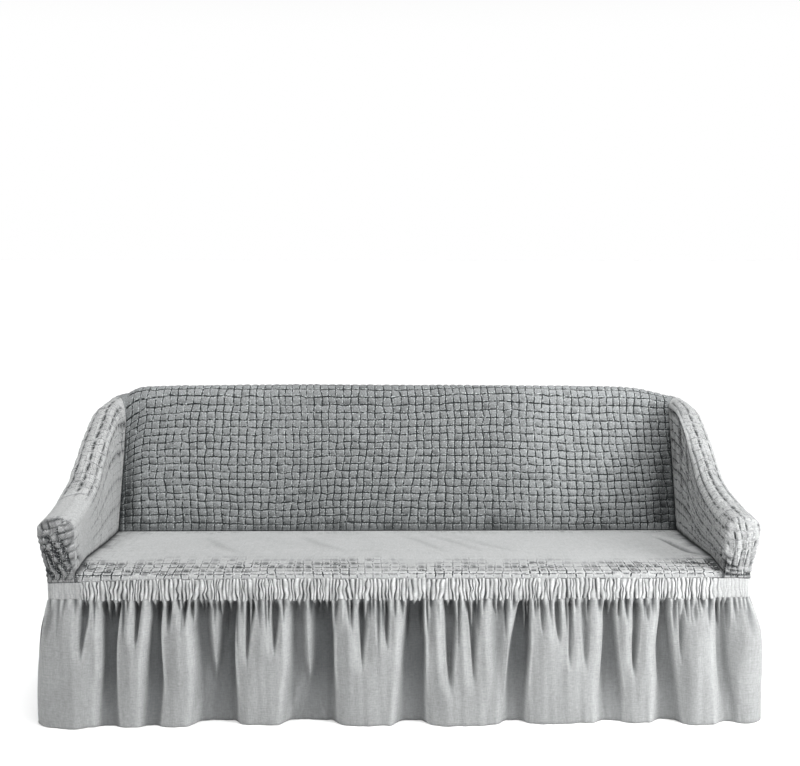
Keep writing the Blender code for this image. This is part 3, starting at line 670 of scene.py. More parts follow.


# Seat: nearly smooth where it is pulled flat, puffed rows along its front, a few listed creases
seatLook = {
    "cells": (74, 21),
    "rollRows": 2,  # rows on the rounded front edge
    "rowPlaces": ((0, 0.160), (12, -0.130), (19, -0.420)),
    "columnShares": (0, 0.13, 0.34, 0.66, 0.85),
    "rowShares": (0, 0.17, 0.50, 0.83),
    "upright": (0.0, 0.40, 0.45, 0.05),
    "level": (0.25, 1.1, 0.30, 0.40),
    "grooveU": 0.08,
    "puff": 0.0018,
    "depth": 0.0021,
    "lean": 0.0007,
    "rims": 1.8,
    "breaks": 0.90,
    "calm": 0.06,  # share of the relief left where the seat is pulled flat
    "frontRows": (-0.24, 0.15),  # depth where the front rows begin, and how slowly they rise
    "rearRows": (0.075, 0.07),
    "ends": (0.80, 0.12),
    "stand": 0.0006,
    "creaseShadeAndLight": 130,  # painted shade in the creases and the wrinkles, and painted highlight on their ridges, for each metre of their depth
    "wrinkleShadeAndLight": 240,
    "jitter": (0.08, 0.04),
    "drift": (0.25, 0.05),
    "wave": (16, 14),
    "cell": (0.0257, 0.0245),
    "strokes": (1.0, 1.0),
    "tint": (0.405, 0.412, 0.412),
    "shadeAndPatchTint": (0.025, 0.028, 0.03),
    "grain": 0.5,
    "grainSize": 170,
    "rim": 1.6,
    "seed": 41,
    # creases: points on the seat, half width, height (negative is a trough)
    "creases": (
        (((0.814, 0.073), (0.863, -0.053), (0.900, -0.198), (0.950, -0.273)), 0.010, -0.0045),
        (((0.844, 0.059), (0.902, -0.054), (0.940, -0.160)), 0.009, 0.0040),
        (((0.852, 0.016), (0.874, -0.107), (0.891, -0.210)), 0.008, -0.0035),
        (((0.790, 0.110), (0.830, 0.020), (0.868, -0.080)), 0.012, 0.0030),
        (((0.008, 0.067), (0.068, -0.031), (0.142, -0.190)), 0.014, -0.0013),
        (((0.104, 0.066), (0.180, -0.046), (0.252, -0.165)), 0.016, -0.0014),
        (((0.185, 0.051), (0.288, -0.101), (0.374, -0.192)), 0.018, -0.0012),
        (((-0.320, 0.060), (-0.260, -0.060), (-0.170, -0.180)), 0.018, -0.0014),
        (((-0.620, 0.030), (-0.570, -0.090), (-0.500, -0.200)), 0.018, -0.0014),
    ),
    # wrinkles in the front corners and along the front edge, darkened with painted shade
    "wrinkles": (
        (((0.944, -0.290), (0.915, -0.335), (0.875, -0.360)), 0.012, -0.0040),
        (((0.946, -0.335), (0.922, -0.372), (0.890, -0.392)), 0.011, -0.0044),
        (((0.940, -0.352), (0.915, -0.384), (0.888, -0.403)), 0.006, 0.0026),
        (((0.946, -0.370), (0.928, -0.400), (0.905, -0.414)), 0.009, -0.0044),
        (((0.944, -0.398), (0.930, -0.416), (0.915, -0.426)), 0.005, -0.0040),
        (((-0.905, -0.300), (-0.860, -0.345), (-0.800, -0.372)), 0.011, -0.0022),
        (((-0.946, -0.335), (-0.918, -0.378), (-0.880, -0.402)), 0.011, -0.0040),
        (((-0.870, -0.390), (-0.800, -0.410), (-0.730, -0.420)), 0.008, -0.0026),
        (((-0.935, -0.404), (-0.890, -0.420), (-0.830, -0.427)), 0.005, -0.0040),
        (((-0.800, -0.424), (-0.700, -0.429), (-0.610, -0.426)), 0.005, -0.0030),
        (((-0.560, -0.430), (-0.470, -0.427), (-0.400, -0.430)), 0.004, -0.0020),
    ),
}


def nearLine(line, x, y):  # distance to a bent line, and how far along it the nearest point lies, 0 to 1
    best, along = np.full(x.shape, 1e9), np.zeros(x.shape)
    lengths = [math.dist(a, b) for a, b in zip(line, line[1:])]
    before = 0.0
    for (ax, ay), (bx, by), length in zip(line, line[1:], lengths):
        t = unit(((x - ax) * (bx - ax) + (y - ay) * (by - ay)) / length ** 2)
        away = np.hypot(x - ax - (bx - ax) * t, y - ay - (by - ay) * t)
        closer = away < best
        best = np.where(closer, away, best)
        along = np.where(closer, (before + length * t) / sum(lengths), along)
        before += length
    return best, along


def creaseRelief(creases, x, y):
    height = np.zeros(x.shape)
    for line, width, rise in creases:
        away, along = nearLine(line, x, y)
        height += rise * bell(away, width) * unit(np.sin(math.pi * (0.06 + 0.88 * along))) ** 0.7
    return height


def makeSeat():
    look = seatLook
    cells = look["cells"]
    u, v, uMoved, vMoved = panelGrid(look)
    roll = cover["seatRoll"]
    flatRows = cells[1] - look["rollRows"]
    angle = unit((vMoved - flatRows) / look["rollRows"]) * quarter
    flatY = np.interp(vMoved, *zip(*look["rowPlaces"]))
    y = np.where(vMoved <= flatRows, flatY, front + roll - roll * np.sin(angle))
    x = (2 * uMoved / cells[0] - 1) * through(cover["seatSide"], y)
    lip = v >= cells[1]
    z = np.where(lip, bandHeight(x), seatHeight(x, y))
    y = np.where(lip, front, y)
    place = points(x, y, z)
    relief, groove = crinkles(u, v, {**look, "grooveV": 0.36 - 0.18 * ease((v - 18) / 1.5)}, look["seed"])
    frontFrom, frontRise = look["frontRows"]
    frontRows = ease((frontFrom - y + 0.03 * wander(u, v, 1, 9, 5)) / frontRise)
    rearRows = ease((y - look["rearRows"][0]) / look["rearRows"][1])
    ends = ease((np.abs(x) - look["ends"][0]) / look["ends"][1])
    strength = unit(span((look["calm"], 0.95), frontRows) + 0.30 * rearRows + 0.15 * ends)
    strength *= np.clip(1 + 0.30 * wander(u, v, 1, 9, 9), 0.3, 1.3)
    hold = edgeHold(u, v, cells)
    creases, wrinkles = creaseRelief(look["creases"], x, y), creaseRelief(look["wrinkles"], x, y)
    lift = (relief * strength + creases + wrinkles + look["stand"]) * hold
    place += outward(place, np.array([0.0, -0.2, 1.0])) * lift[..., None]
    patches = np.random.default_rng(look["seed"] + 2).uniform(0.1, 1.0, cells[0] + 2)
    # painted shade along the rear seam and the sides, where the seat meets the back and the arms
    seam = bell(np.minimum(np.minimum(u, cells[0] - u), np.minimum(v * 0.7, cells[1] - v)), 0.12)
    seam = seam * np.where(v > cells[1] - 1, patches[whole(u)], 0.25 + 0.65 * patches[whole(u)])
    sides = bell(np.minimum(u, cells[0] - u), 0.25 + 0.7 * patches[whole(v)])
    # painted shade in the grooves and the creases, painted highlight on raised creases
    groove = groove * strength * hold + np.clip(-creases * look["creaseShadeAndLight"], -0.25, 0.55)
    groove = np.clip(groove + np.clip(-wrinkles * look["wrinkleShadeAndLight"], -0.3, 1.0), -1, 1)
    groove = np.maximum(np.maximum(groove, seam), sides)
    piece = panelPiece("seat_cloth", look, u, v, place, (0, 0, 1), groove, unit(strength ** 1.5 * hold))
    finishPiece(piece, "seat")


# Band: fine upright pleats all the way round, drawn in by elastic
bandLook = {
    "pleats": 560,
    "pleatShares": (0, 0.16, 0.40, 0.64, 0.86),
    "rows": (0, 0.06, 0.15, 0.27, 0.40, 0.54, 0.67, 0.79, 0.90, 1),
    "depth": 0.0046,
    "ridges": (0.25, 1.35),  # lowest and highest ridges, and their valleys, as shares of the depth
    "valleys": (0.05, 1.1),
    "valleyHalf": 0.15,  # half width of a valley, and its gain where a gather opens, in pleats
    "gatherHalf": 0.16,
    # painted highlight on the ridges, lowest and highest
    "ridgeHighlight": (-0.1, 0.85),
    "smoothed": 0.85,  # how much of the pleats is gone under the fronts of the arms
    "wiggle": 0.0022,  # how far the pleats waver and slant
    "slant": 0.0018,
    "flare": 0.0022,  # how far their lower ends stand out
    "plainFrom": 0.905,  # from here outwards the front of the band is smooth
    "endsShade": 0.16,  # painted shade on the smooth part under the left arm
    "ragged": (0.0110, 0.0065),  # how far the pleats reach past the lower and the upper seam
    "flatHeight": 0.055,
    "tint": (0.415, 0.422, 0.422),
    "shadeAndPatchTint": (0.04, 0.043, 0.045),
    "rim": 1.9,
    "grain": 0.4,
    "grainSize": 200,
    "seed": 61,
}

# the runs and corners of half the loop, from the middle of the front to the middle of the back
loopRuns = (
    halfLength - cover["frontCorner"],
    cover["frontCorner"] * quarter,
    (rear - cover["rearCorner"]) - (front + cover["frontCorner"]),
    cover["rearCorner"] * quarter,
    halfLength - cover["rearCorner"],
)
frontEnd, sideStart, sideEnd, backStart, halfLoop = np.cumsum(loopRuns)
frontSeam, rearSeam = sideStart + 0.012, sideEnd - 0.012  # seams between the widths of the skirt


def loopPoint(place):  # plan point and outward direction, at a distance round the band from its middle front
    side = np.where(place < 0, -1.0, 1.0)
    along = np.abs(place)
    small, large = cover["frontCorner"], cover["rearCorner"]
    turn = np.clip((along - frontEnd) / small, 0, quarter)
    back = np.clip((along - sideEnd) / large, 0, quarter)
    run = np.clip(along - sideStart, 0, loopRuns[2])
    tail = np.clip(along - backStart, 0, None)
    behind = along > sideEnd
    frontX = np.minimum(along, frontEnd) + small * np.sin(turn)
    x = np.where(behind, loopRuns[4] + large * np.cos(back) - tail, frontX)
    y = np.where(behind, rear - large + large * np.sin(back), front + small - small * np.cos(turn) + run)
    outX = np.where(behind, np.cos(back), np.sin(turn))
    outY = np.where(behind, np.sin(back), -np.cos(turn))
    return side * x, y, side * outX, outY


def pleatEdges():  # where one pleat of the band ends and the next begins, from the middle of the back
    width = np.random.default_rng(bandLook["seed"]).uniform(0.55, 1.45, bandLook["pleats"])
    edges = np.concatenate(([0], np.cumsum(width)))
    return edges * 2 * halfLoop / edges[-1] - halfLoop


def gatherTable():  # which of those edges run on into the skirt as a gather, and 7 chances for each
    rng = np.random.default_rng(bandLook["seed"] + 9)
    opened = np.zeros(bandLook["pleats"], bool)
    k = 0
    while k < len(opened):
        opened[k] = True
        k += rng.choice((1, 2, 3), p=(0.3, 0.5, 0.2))
    return opened, rng.random((len(opened), 7))


def plainBand(x, y):  # 1 where the band is pulled smooth under the fronts of the arms
    return ease((np.abs(x) - bandLook["plainFrom"]) / 0.03) * (y < front + 0.05)


def makeBand():
    look = bandLook
    rng = np.random.default_rng(look["seed"] + 1)
    count = look["pleats"]
    rows = np.array(look["rows"])
    knots = np.linspace(0, 1, 5)

    def downRows(table):  # values at five heights, read at every row
        return np.stack([np.interp(rows, knots, line) for line in table])

    u = cellSteps(count, look["pleatShares"])[:, None]
    pleat, close = whole(u[:, 0]) % count, nearest(u[:, 0]) % count
    share = u - np.floor(u)
    edges = pleatEdges()
    along = edges[pleat, None] + share * (edges[pleat + 1] - edges[pleat])[:, None]
    along = np.where(u >= count, -halfLoop, along)
    tall = rng.uniform(*look["ridges"], count)
    wiggle = rng.normal(0, look["wiggle"], (count + 1, 5))
    wiggle += rng.normal(0, look["slant"], (count + 1, 1)) * (2 * knots - 1)
    wiggle[-1] = wiggle[0]
    sway = downRows(wiggle)
    x, y, outX, outY = loopPoint(along + (sway[pleat] * (1 - share) + sway[pleat + 1] * share))
    foot, head = cover["bandFoot"], bandHeight(x)
    plain = plainBand(x, y)
    smooth = 1 - look["smoothed"] * plain
    depths = rng.uniform(*look["valleys"], (count, 5)) + (rng.random((count, 1)) < 0.3) * 0.4
    wide = rng.uniform(0.75, 1.35, count)[close, None]
    opened = gatherTable()[0][close, None]
    nearFoot = bell(rows, 0.30)
    strong = downRows(depths)[close] * (1 - nearFoot) + nearFoot * np.where(opened, 1.0, 0.25)
    spread = (look["valleyHalf"] + 0.09 * np.exp(-(1 - rows) / 0.08)) * wide
    spread = spread + look["gatherHalf"] * nearFoot * opened
    valley = bell(np.minimum(share, 1 - share), spread) * strong
    ridge = unit(np.sin(math.pi * share)) ** 0.6
    point = 1 - np.abs(2 * share - 1)
    bulge = unit(np.sin(math.pi * (0.06 + 0.9 * rows))) ** 0.4
    out = look["depth"] * (ridge * tall[pleat, None] * bulge - 0.5 * valley * (0.35 + 0.65 * bulge)) * smooth
    out += look["flare"] * point * bell(rows, 0.12) * smooth
    reach = rng.uniform(0.15, 1.0, (2, count))[:, pleat, None] * np.stack((point, ridge))
    low, high = [look["ragged"][k] * reach[k] * smooth for k in (0, 1)]
    height = foot - low * (1 - rows) ** 3 + (head + high * rows ** 3 - foot) * rows
    # painted highlight on the ridges, painted shade in the valleys and under the left arm
    highlight = downRows(rng.uniform(*look["ridgeHighlight"], (count, 5)))[pleat] * bell(share - 0.52, 0.26)
    groove = np.clip(valley * smooth * 1.1 - highlight * (1 - valley) * smooth, -1, 1)
    groove += look["endsShade"] * plain * (x < 0)
    flat = np.stack(np.broadcast_arrays(along, rows * look["flatHeight"]), -1)
    place = points(x + outX * out, y + outY * out, height)
    piece = clothPiece("band_cloth", look, place, flat, (0, (0.25, 1, 0)), groove)
    finishPiece(piece, "shirred_band")


# Skirt: four widths gathered into the band, with folds between rounded swells and painted shade on the folds'
# floors
skirtLook = {
    "gathering": 1.5,  # length of flat cloth for each length of band
    "lip": 0.012,  # share of the drop that hangs upright under the band
    "flare": ((0.012, 0.0), (0.12, 0.40), (0.30, 0.78), (0.60, 1.0), (1.0, 1.0)),
    "topRows": (0, 0.006, 0.012, 0.020, 0.030, 0.042, 0.056, 0.072, 0.090, 0.110, 0.132, 0.158, 0.188, 0.220),
    "foldMid": 0.45,
    "foldStart": 0.06,
    "shoulder": 0.26,  # share of a fold's depth that its rounded shoulders take
    "shoulderWidth": 0.034,
    "rolled": (0.0050, 0.0020),  # height of the rolled edge left of a fold, and of the thin one right of it
    "rolledAway": (0.019, 0.005),  # their distance from the fold, half width and painted highlight
    "rolledHalf": (0.011, 0.0042),
    "rolledHighlight": (0.75, 0.55),
    "hemSoft": 0.018,  # softness of the walls of every fold at the hem
    "bend": 0.0018,  # how far the walls of a fold waver
    "gatherDepth": (0.0040, 0.0130),
    "gatherLength": (0.09, 0.42),
    "gatherWidth": (0.0036, 0.0085),
    "toothLength": (0.085, 0.34),
    "toothOut": 0.0015,
    "toothHalf": 0.0058,
    "toothHighlight": 0.9,  # painted highlight on the teeth
    "topPuff": 0.0024,  # how far the cloth swells out just under the band
    # painted shade on the floors of the folds
    "floorShade": 0.86,
    "wave": 0.0026,
    "tint": (0.30, 0.307, 0.307),
    "shadeAndPatchTint": (0.088, 0.093, 0.096),
    "rim": 1.4,
    "toneDrift": 0.30,
    "grain": 0.35,
    "grainSize": 170,
    "threads": 0.42,
    "weave": 0.0009,
    # how far the skirt stands out, by place round the band
    "stand": (
        (-2.80, 0.058), (-2.30, 0.066), (-1.90, 0.054), (-1.45, 0.036), (-1.20, 0.030), (-1.04, 0.036),
        (-0.94, 0.060), (-0.887, 0.045), (-0.784, 0.050), (-0.654, 0.046), (-0.40, 0.034), (-0.12, 0.043),
        (0.145, 0.045), (0.45, 0.034), (0.59, 0.024), (0.69, 0.028), (0.75, 0.026), (0.858, 0.052),
        (0.94, 0.034), (1.02, 0.042), (1.12, 0.042), (1.45, 0.038), (1.90, 0.058), (2.30, 0.068),
        (2.80, 0.058),
    ),
    # each fold: its left and right edge at the band, halfway and at the hem; depth halfway and at the hem;
    # share of the drop it reaches; softness of its two walls; how dark the painted shade on its floor is above
    # and at the hem
    "frontFolds": (
        (-1.033, -1.01, -1.025, -1.01, -1.025, -1.01, 0.012, 0, 0.42, 0.01, 0.006, 0.5, 0),
        (-0.929, -0.897, -0.932, -0.914, -0.932, -0.914, 0.034, 0, 0.52, 0.008, 0.005, 0.85, 0),
        (-0.865, -0.81, -0.862, -0.825, -0.874, -0.816, 0.05, 0.016, 1, 0.004, 0.004, 1, 0.75),
        (-0.772, -0.755, -0.772, -0.758, -0.772, -0.761, 0.036, 0, 0.42, 0.004, 0.004, 0.95, 0),
        (-0.717, -0.694, -0.732, -0.691, -0.746, -0.696, 0.046, 0.022, 1, 0.006, 0.003, 0.95, 0.8),
        (-0.677, -0.665, -0.677, -0.665, -0.674, -0.668, 0.024, 0, 0.3, 0.007, 0.004, 0.75, 0),
        (-0.633, -0.62, -0.633, -0.622, -0.63, -0.624, 0.028, 0, 0.26, 0.003, 0.003, 0.95, 0),
        (-0.603, -0.555, -0.590, -0.544, -0.600, -0.500, 0.05, 0.05, 1, 0.012, 0.016, 0.85, 0.6),
        (-0.526, -0.477, -0.532, -0.482, -0.580, -0.474, 0.058, 0.05, 1, 0.014, 0.003, 1.0, 0.68),
        (-0.548, -0.534, -0.556, -0.520, -0.600, -0.474, 0.014, 0.05, 1, 0.018, 0.018, 0.25, 0.64),
        (-0.445, -0.426, -0.452, -0.436, -0.45, -0.442, 0.034, 0, 0.62, 0.004, 0.005, 0.9, 0),
        (-0.379, -0.355, -0.372, -0.358, -0.366, -0.361, 0.034, 0, 0.5, 0.004, 0.006, 0.85, 0),
        (-0.32, -0.282, -0.318, -0.272, -0.340, -0.225, 0.05, 0.044, 1, 0.012, 0.016, 0.72, 0.52),
        (-0.256, -0.194, -0.256, -0.194, -0.312, -0.187, 0.06, 0.05, 1, 0.014, 0.003, 1.0, 0.58),
        (-0.276, -0.262, -0.284, -0.246, -0.340, -0.187, 0.014, 0.048, 1, 0.018, 0.018, 0.25, 0.57),
        (-0.152, -0.139, -0.152, -0.14, -0.149, -0.143, 0.024, 0, 0.26, 0.005, 0.005, 0.7, 0),
        (-0.123, -0.094, -0.118, -0.104, -0.117, -0.108, 0.036, 0, 0.62, 0.003, 0.009, 0.95, 0),
        (-0.05, -0.033, -0.044, -0.031, -0.042, -0.033, 0.03, 0, 0.44, 0.004, 0.005, 0.85, 0),
        (0.022, 0.064, 0.008, 0.07, -0.01, 0.076, 0.054, 0.048, 1, 0.009, 0.003, 0.92, 0.62),
        (0.083, 0.098, 0.083, 0.098, 0.086, 0.095, 0.01, 0, 0.55, 0.01, 0.01, 0.3, 0),
        (0.127, 0.164, 0.132, 0.158, 0.141, 0.153, 0.042, 0, 0.88, 0.004, 0.008, 0.78, 0),
        (0.195, 0.214, 0.205, 0.222, 0.214, 0.225, 0.034, 0, 0.84, 0.003, 0.011, 0.75, 0),
        (0.272, 0.309, 0.269, 0.306, 0.26, 0.301, 0.026, 0.01, 1, 0.012, 0.016, 0.5, 0.28),
        (0.35, 0.379, 0.318, 0.373, 0.298, 0.366, 0.054, 0.042, 1, 0.006, 0.003, 0.98, 0.45),
        (0.408, 0.422, 0.408, 0.419, 0.411, 0.419, 0.022, 0, 0.32, 0.004, 0.006, 0.6, 0),
        (0.451, 0.469, 0.454, 0.469, 0.457, 0.466, 0.026, 0, 0.4, 0.004, 0.008, 0.6, 0),
        (0.488, 0.505, 0.488, 0.498, 0.489, 0.498, 0.026, 0.004, 0.62, 0.003, 0.01, 0.68, 0),
        (0.527, 0.547, 0.53, 0.55, 0.533, 0.55, 0.022, 0, 0.66, 0.006, 0.01, 0.5, 0),
        (0.596, 0.617, 0.589, 0.637, 0.586, 0.649, 0.042, 0.024, 1, 0.004, 0.007, 0.78, 0.4),
        (0.634, 0.647, 0.634, 0.643, 0.637, 0.643, 0.018, 0, 0.2, 0.004, 0.006, 0.55, 0),
        (0.68, 0.698, 0.676, 0.694, 0.678, 0.692, 0.03, 0, 0.74, 0.004, 0.008, 0.62, 0),
        (0.715, 0.725, 0.715, 0.724, 0.718, 0.724, 0.016, 0, 0.22, 0.004, 0.005, 0.45, 0),
        (0.762, 0.778, 0.752, 0.794, 0.756, 0.823, 0.046, 0.04, 1, 0.005, 0.007, 0.62, 0.34),
        (0.811, 0.824, 0.814, 0.824, 0.817, 0.823, 0.026, 0, 0.58, 0.004, 0.009, 0.5, 0),
        (0.852, 0.863, 0.852, 0.863, 0.854, 0.86, 0.014, 0, 0.22, 0.005, 0.006, 0.4, 0),
        (0.921, 0.947, 0.924, 0.956, 0.939, 0.988, 0.032, 0.02, 1, 0.005, 0.014, 0.48, 0.22),
    ),
    # each fold: its place at the band, halfway and at the hem; its width there; depth halfway and at the hem;
    # share of the drop it reaches
    "rightFolds": (
        (1.15, 1.146, 1.14, 0.03, 0.044, 0.062, 0.044, 0.034, 1),
        (1.232, 1.232, 1.232, 0.028, 0.03, 0.026, 0.026, 0, 0.58),
        (1.306, 1.312, 1.322, 0.034, 0.05, 0.078, 0.05, 0.044, 1),
        (1.41, 1.404, 1.4, 0.028, 0.032, 0.028, 0.028, 0, 0.68),
        (1.482, 1.48, 1.476, 0.034, 0.044, 0.064, 0.044, 0.03, 1),
        (1.56, 1.562, 1.566, 0.026, 0.028, 0.026, 0.024, 0, 0.5),
        (1.64, 1.648, 1.654, 0.036, 0.05, 0.076, 0.05, 0.042, 1),
        (1.735, 1.735, 1.735, 0.028, 0.03, 0.028, 0.026, 0, 0.62),
    ),
    "leftFolds": (
        (-1.135, -1.135, -1.13, 0.03, 0.042, 0.058, 0.038, 0.026, 1),
        (-1.215, -1.22, -1.226, 0.026, 0.028, 0.026, 0.024, 0, 0.52),
        (-1.29, -1.29, -1.284, 0.036, 0.052, 0.078, 0.048, 0.04, 1),
        (-1.385, -1.39, -1.396, 0.028, 0.03, 0.028, 0.024, 0, 0.62),
        (-1.47, -1.466, -1.46, 0.032, 0.046, 0.066, 0.046, 0.032, 1),
        (-1.57, -1.574, -1.58, 0.036, 0.048, 0.07, 0.044, 0.036, 1),
        (-1.655, -1.655, -1.655, 0.026, 0.028, 0.026, 0.026, 0, 0.58),
        (-1.73, -1.724, -1.716, 0.03, 0.042, 0.06, 0.042, 0.028, 1),
    ),
    "backFolds": (
        (1.85, 1.856, 1.862, 0.036, 0.052, 0.076, 0.048, 0.036, 1),
        (1.985, 1.98, 1.972, 0.036, 0.056, 0.088, 0.054, 0.048, 1),
        (2.08, 2.082, 2.082, 0.032, 0.034, 0.032, 0.028, 0, 0.62),
        (2.17, 2.176, 2.184, 0.036, 0.054, 0.082, 0.052, 0.04, 1),
        (2.3, 2.296, 2.29, 0.038, 0.056, 0.09, 0.056, 0.05, 1),
        (2.4, 2.4, 2.4, 0.032, 0.034, 0.032, 0.028, 0, 0.58),
        (2.48, 2.488, 2.494, 0.036, 0.05, 0.078, 0.046, 0.034, 1),
        (2.61, 2.604, 2.598, 0.038, 0.056, 0.088, 0.054, 0.046, 1),
        (2.705, 2.705, 2.705, 0.032, 0.034, 0.032, 0.026, 0, 0.64),
        (-2.74, -2.746, -2.752, 0.036, 0.054, 0.084, 0.052, 0.044, 1),
        (-2.64, -2.64, -2.64, 0.032, 0.034, 0.032, 0.026, 0, 0.54),
        (-2.56, -2.552, -2.546, 0.036, 0.052, 0.08, 0.048, 0.036, 1),
        (-2.43, -2.436, -2.44, 0.038, 0.056, 0.09, 0.054, 0.046, 1),
        (-2.33, -2.33, -2.33, 0.032, 0.034, 0.032, 0.026, 0, 0.66),
        (-2.25, -2.246, -2.24, 0.036, 0.052, 0.078, 0.046, 0.034, 1),
        (-2.12, -2.126, -2.134, 0.038, 0.056, 0.088, 0.054, 0.046, 1),
        (-2.02, -2.018, -2.016, 0.032, 0.034, 0.032, 0.028, 0, 0.58),
        (-1.93, -1.926, -1.92, 0.036, 0.05, 0.074, 0.048, 0.036, 1),
        (-1.82, -1.822, -1.826, 0.03, 0.04, 0.056, 0.038, 0.026, 1),
    ),
}


def fullRow(row, rng):  # a short row of the side and back folds, written out as the front ones are
    if len(row) == 13:
        return row
    depth, hemDepth, reach = row[6:]
    edges = [centre + end * width for centre, width in zip(row[:3], row[3:6]) for end in (-0.48, 0.48)]
    walls = rng.uniform(0.003, 0.009, 2)
    return (*edges, depth, hemDepth, reach, *walls, rng.uniform(0.55, 0.8), 0.4 if reach == 1 else 0)


def foldRelief(folds, place, drop, seed):  # how deep folds are, the painted shade on their floors, the painted highlight beside their edges
    look = skirtLook
    rng = np.random.default_rng(seed)
    marks = (0.0, look["foldMid"], 1.0)
    deepest, shade, soft, rolled, highlight = np.zeros((5, *place.shape))
    lower = ease((drop - look["foldMid"]) / (1 - look["foldMid"]))
    hemSoft = ease((drop - 0.5) / 0.5)
    for row in folds:
        *edges, depth, hemDepth, reach, softL, softR, darkTop, darkHem = fullRow(row, rng)
        left, right = [through(tuple(zip(marks, edges[end::2])), drop) for end in (0, 1)]
        bend = rng.normal(0, look["bend"], 2)[:, None, None]
        bend = bend * np.sin(drop * rng.uniform(5, 10) + rng.uniform(0, 6))
        left, right = left + bend[0], right + bend[1]
        middle, half = (left + right) / 2, (right - left) / 2
        live = np.ones_like(drop)
        if reach < 1:  # the fold fades out before the hem
            run = unit(drop / reach)
            half = half * (1 - run ** 2.2) - 0.004 * run ** 3
            live = ease((reach - drop) / (0.30 * reach))
        inside = place - (middle - half), (middle + half) - place
        walls, floors = 1, 1
        for way, width in zip(inside, (softL, softR)):
            softer = max(look["hemSoft"] - width, 0)
            walls = walls * ease(0.5 + 0.5 * way / (width + softer * hemSoft))
            floors = floors * ease(0.5 + 0.5 * way / (width * (0.8 + 1.2 * hemSoft)))
        fall = span((depth, hemDepth), lower) * live
        deepest = np.maximum(deepest, fall * walls)
        outside = np.maximum(0, np.maximum(-inside[0], -inside[1]))
        soft = np.maximum(soft, fall * bell(outside, look["shoulderWidth"]))
        shade = np.maximum(shade, span((darkTop, darkHem), ease((drop - 0.40) / 0.6)) * live * floors)
        weight = live * unit(depth / 0.05) * (0.35 + 0.65 * ease(drop / 0.3))
        for k, way in enumerate(inside):
            roll = bell(way + look["rolledAway"][k], look["rolledHalf"][k]) * weight
            rolled = np.maximum(rolled, look["rolled"][k] * roll)
            highlight = np.maximum(highlight, look["rolledHighlight"][k] * roll)
    return span((deepest, soft), look["shoulder"]) - rolled * (1 - shade), shade, highlight * (1 - shade)


def gatherRelief(place, drop):  # pointed dips and teeth under the band, which run on from its pleats, with painted shade in the dips
    look = skirtLook
    dips, shade, teeth = np.zeros((3, *place.shape))

    def wedge(into, at, length, half, drift, strength, blunt):
        near = np.abs(place[:, 0] - at) < 0.022
        if not near.any():
            return
        block = np.ix_(near, drop[0] < length)
        down = drop[block] / length
        shape = bell(place[block] - at - drift * down, half * (1 - 0.7 * down))
        into[block] = np.maximum(into[block], strength * shape * (1 - down ** blunt))

    opened, chances = gatherTable()
    edges = pleatEdges()[:-1]
    listed = np.tile(np.flatnonzero(opened), 2)
    starts = np.concatenate((edges[opened], edges[opened] + 2 * halfLoop))
    for at, after, pleat in zip(starts, starts[1:], listed):
        if at < place.min() or at > place.max():
            continue
        reach, deep, tone, drift, across, size, _ = chances[pleat]
        drift, gap = 0.010 * (drift - 0.5), after - at
        length, half = span(look["gatherLength"], reach ** 2), span(look["gatherWidth"], across)
        wedge(dips, at, length, half, drift, span(look["gatherDepth"], deep), 3)
        wedge(shade, at, length, half, drift, 0.85 + 0.45 * tone, 2)
        tooth, half = at + gap * (0.35 + 0.3 * across), min(gap * 0.30, look["toothHalf"])
        wedge(teeth, tooth, span(look["toothLength"], size ** 3), half, drift, 1.0, 2)
    return dips, shade, teeth


def makeSkirt(side, start, end, columns, rows, seed, flat):
    look = skirtLook
    top = look["topRows"]
    drops = np.concatenate((top, np.linspace(top[-1], 1, rows + 2 - len(top))[1:]))
    place, drop = np.meshgrid(np.linspace(start, end, columns + 1), drops, indexing="ij")
    looped = np.where(place > halfLoop, place - 2 * halfLoop, place)
    x, y, outX, outY = loopPoint(looped)
    below = np.clip(drop - 0.5 * look["lip"], 0, None)
    depth, shade, highlight = foldRelief(look[side + "Folds"], looped, drop, seed)
    dips, dipShade, teeth = gatherRelief(place, drop)
    calm = 1 - 0.35 * plainBand(x, y)
    swell = wander(place * 14, drop * 1.2, look["wave"], 1.1, seed + 2) * ease(drop / 0.3)
    swell += wander(place * 30, drop * 0.9, look["wave"] * 0.4, 0.9, seed + 3) * ease(drop / 0.2)
    swell += look["topPuff"] * ease(drop / 0.02) * (1 - ease((drop - 0.02) / 0.12)) * calm
    fall = depth * ease(below / look["foldStart"]) * (1 - 0.85 * teeth)
    out = through(look["stand"], looped) * through(look["flare"], drop) - fall + swell
    out += (look["toothOut"] * teeth - dips * calm) * ease(drop / look["lip"])
    height = (cover["bandFoot"] - gap) * (1 - drop)
    # painted shade on the floors of the folds, a little lighter towards the right, and in the dips; painted
    # highlight on the rolled edges and the teeth
    toRight = ease((looped - 0.1) / 0.9) * (np.abs(looped) < frontSeam)
    shade = shade * ease(drop / 0.006 + 0.4)
    floor = look["floorShade"] * shade * (1 - 0.12 * toRight) * (1 - 0.95 * teeth)
    dipShade = dipShade * (1 - 0.85 * teeth)
    light = (highlight * (1 - unit(dipShade)) + look["toothHighlight"] * teeth) * (1 - floor)
    groove = np.clip(np.maximum(floor, dipShade * calm) - light, -1, 1)
    grid = points(x + outX * out, y + outY * out, height)
    flatPlace = np.stack((place * look["gathering"], height), -1)
    piece = clothPiece("skirt_" + side + "_cloth", look, grid, flatPlace, (0, (0.4, 1, 0)), groove)
    finishPiece(piece, "skirt_" + side)


# each width: its first and last place round the band, columns and rows of its mesh, seed, flat size
skirtWidths = {
    "front": (-frontSeam, frontSeam, 760, 44, 101, (3.15, 0.39)),
    "right": (frontSeam, rearSeam, 190, 40, 113, (1.10, 0.39)),
    "back": (rearSeam, 2 * halfLoop - rearSeam, 460, 36, 127, (3.15, 0.39)),
    "left": (-rearSeam, -frontSeam, 190, 40, 131, (1.10, 0.39)),
}


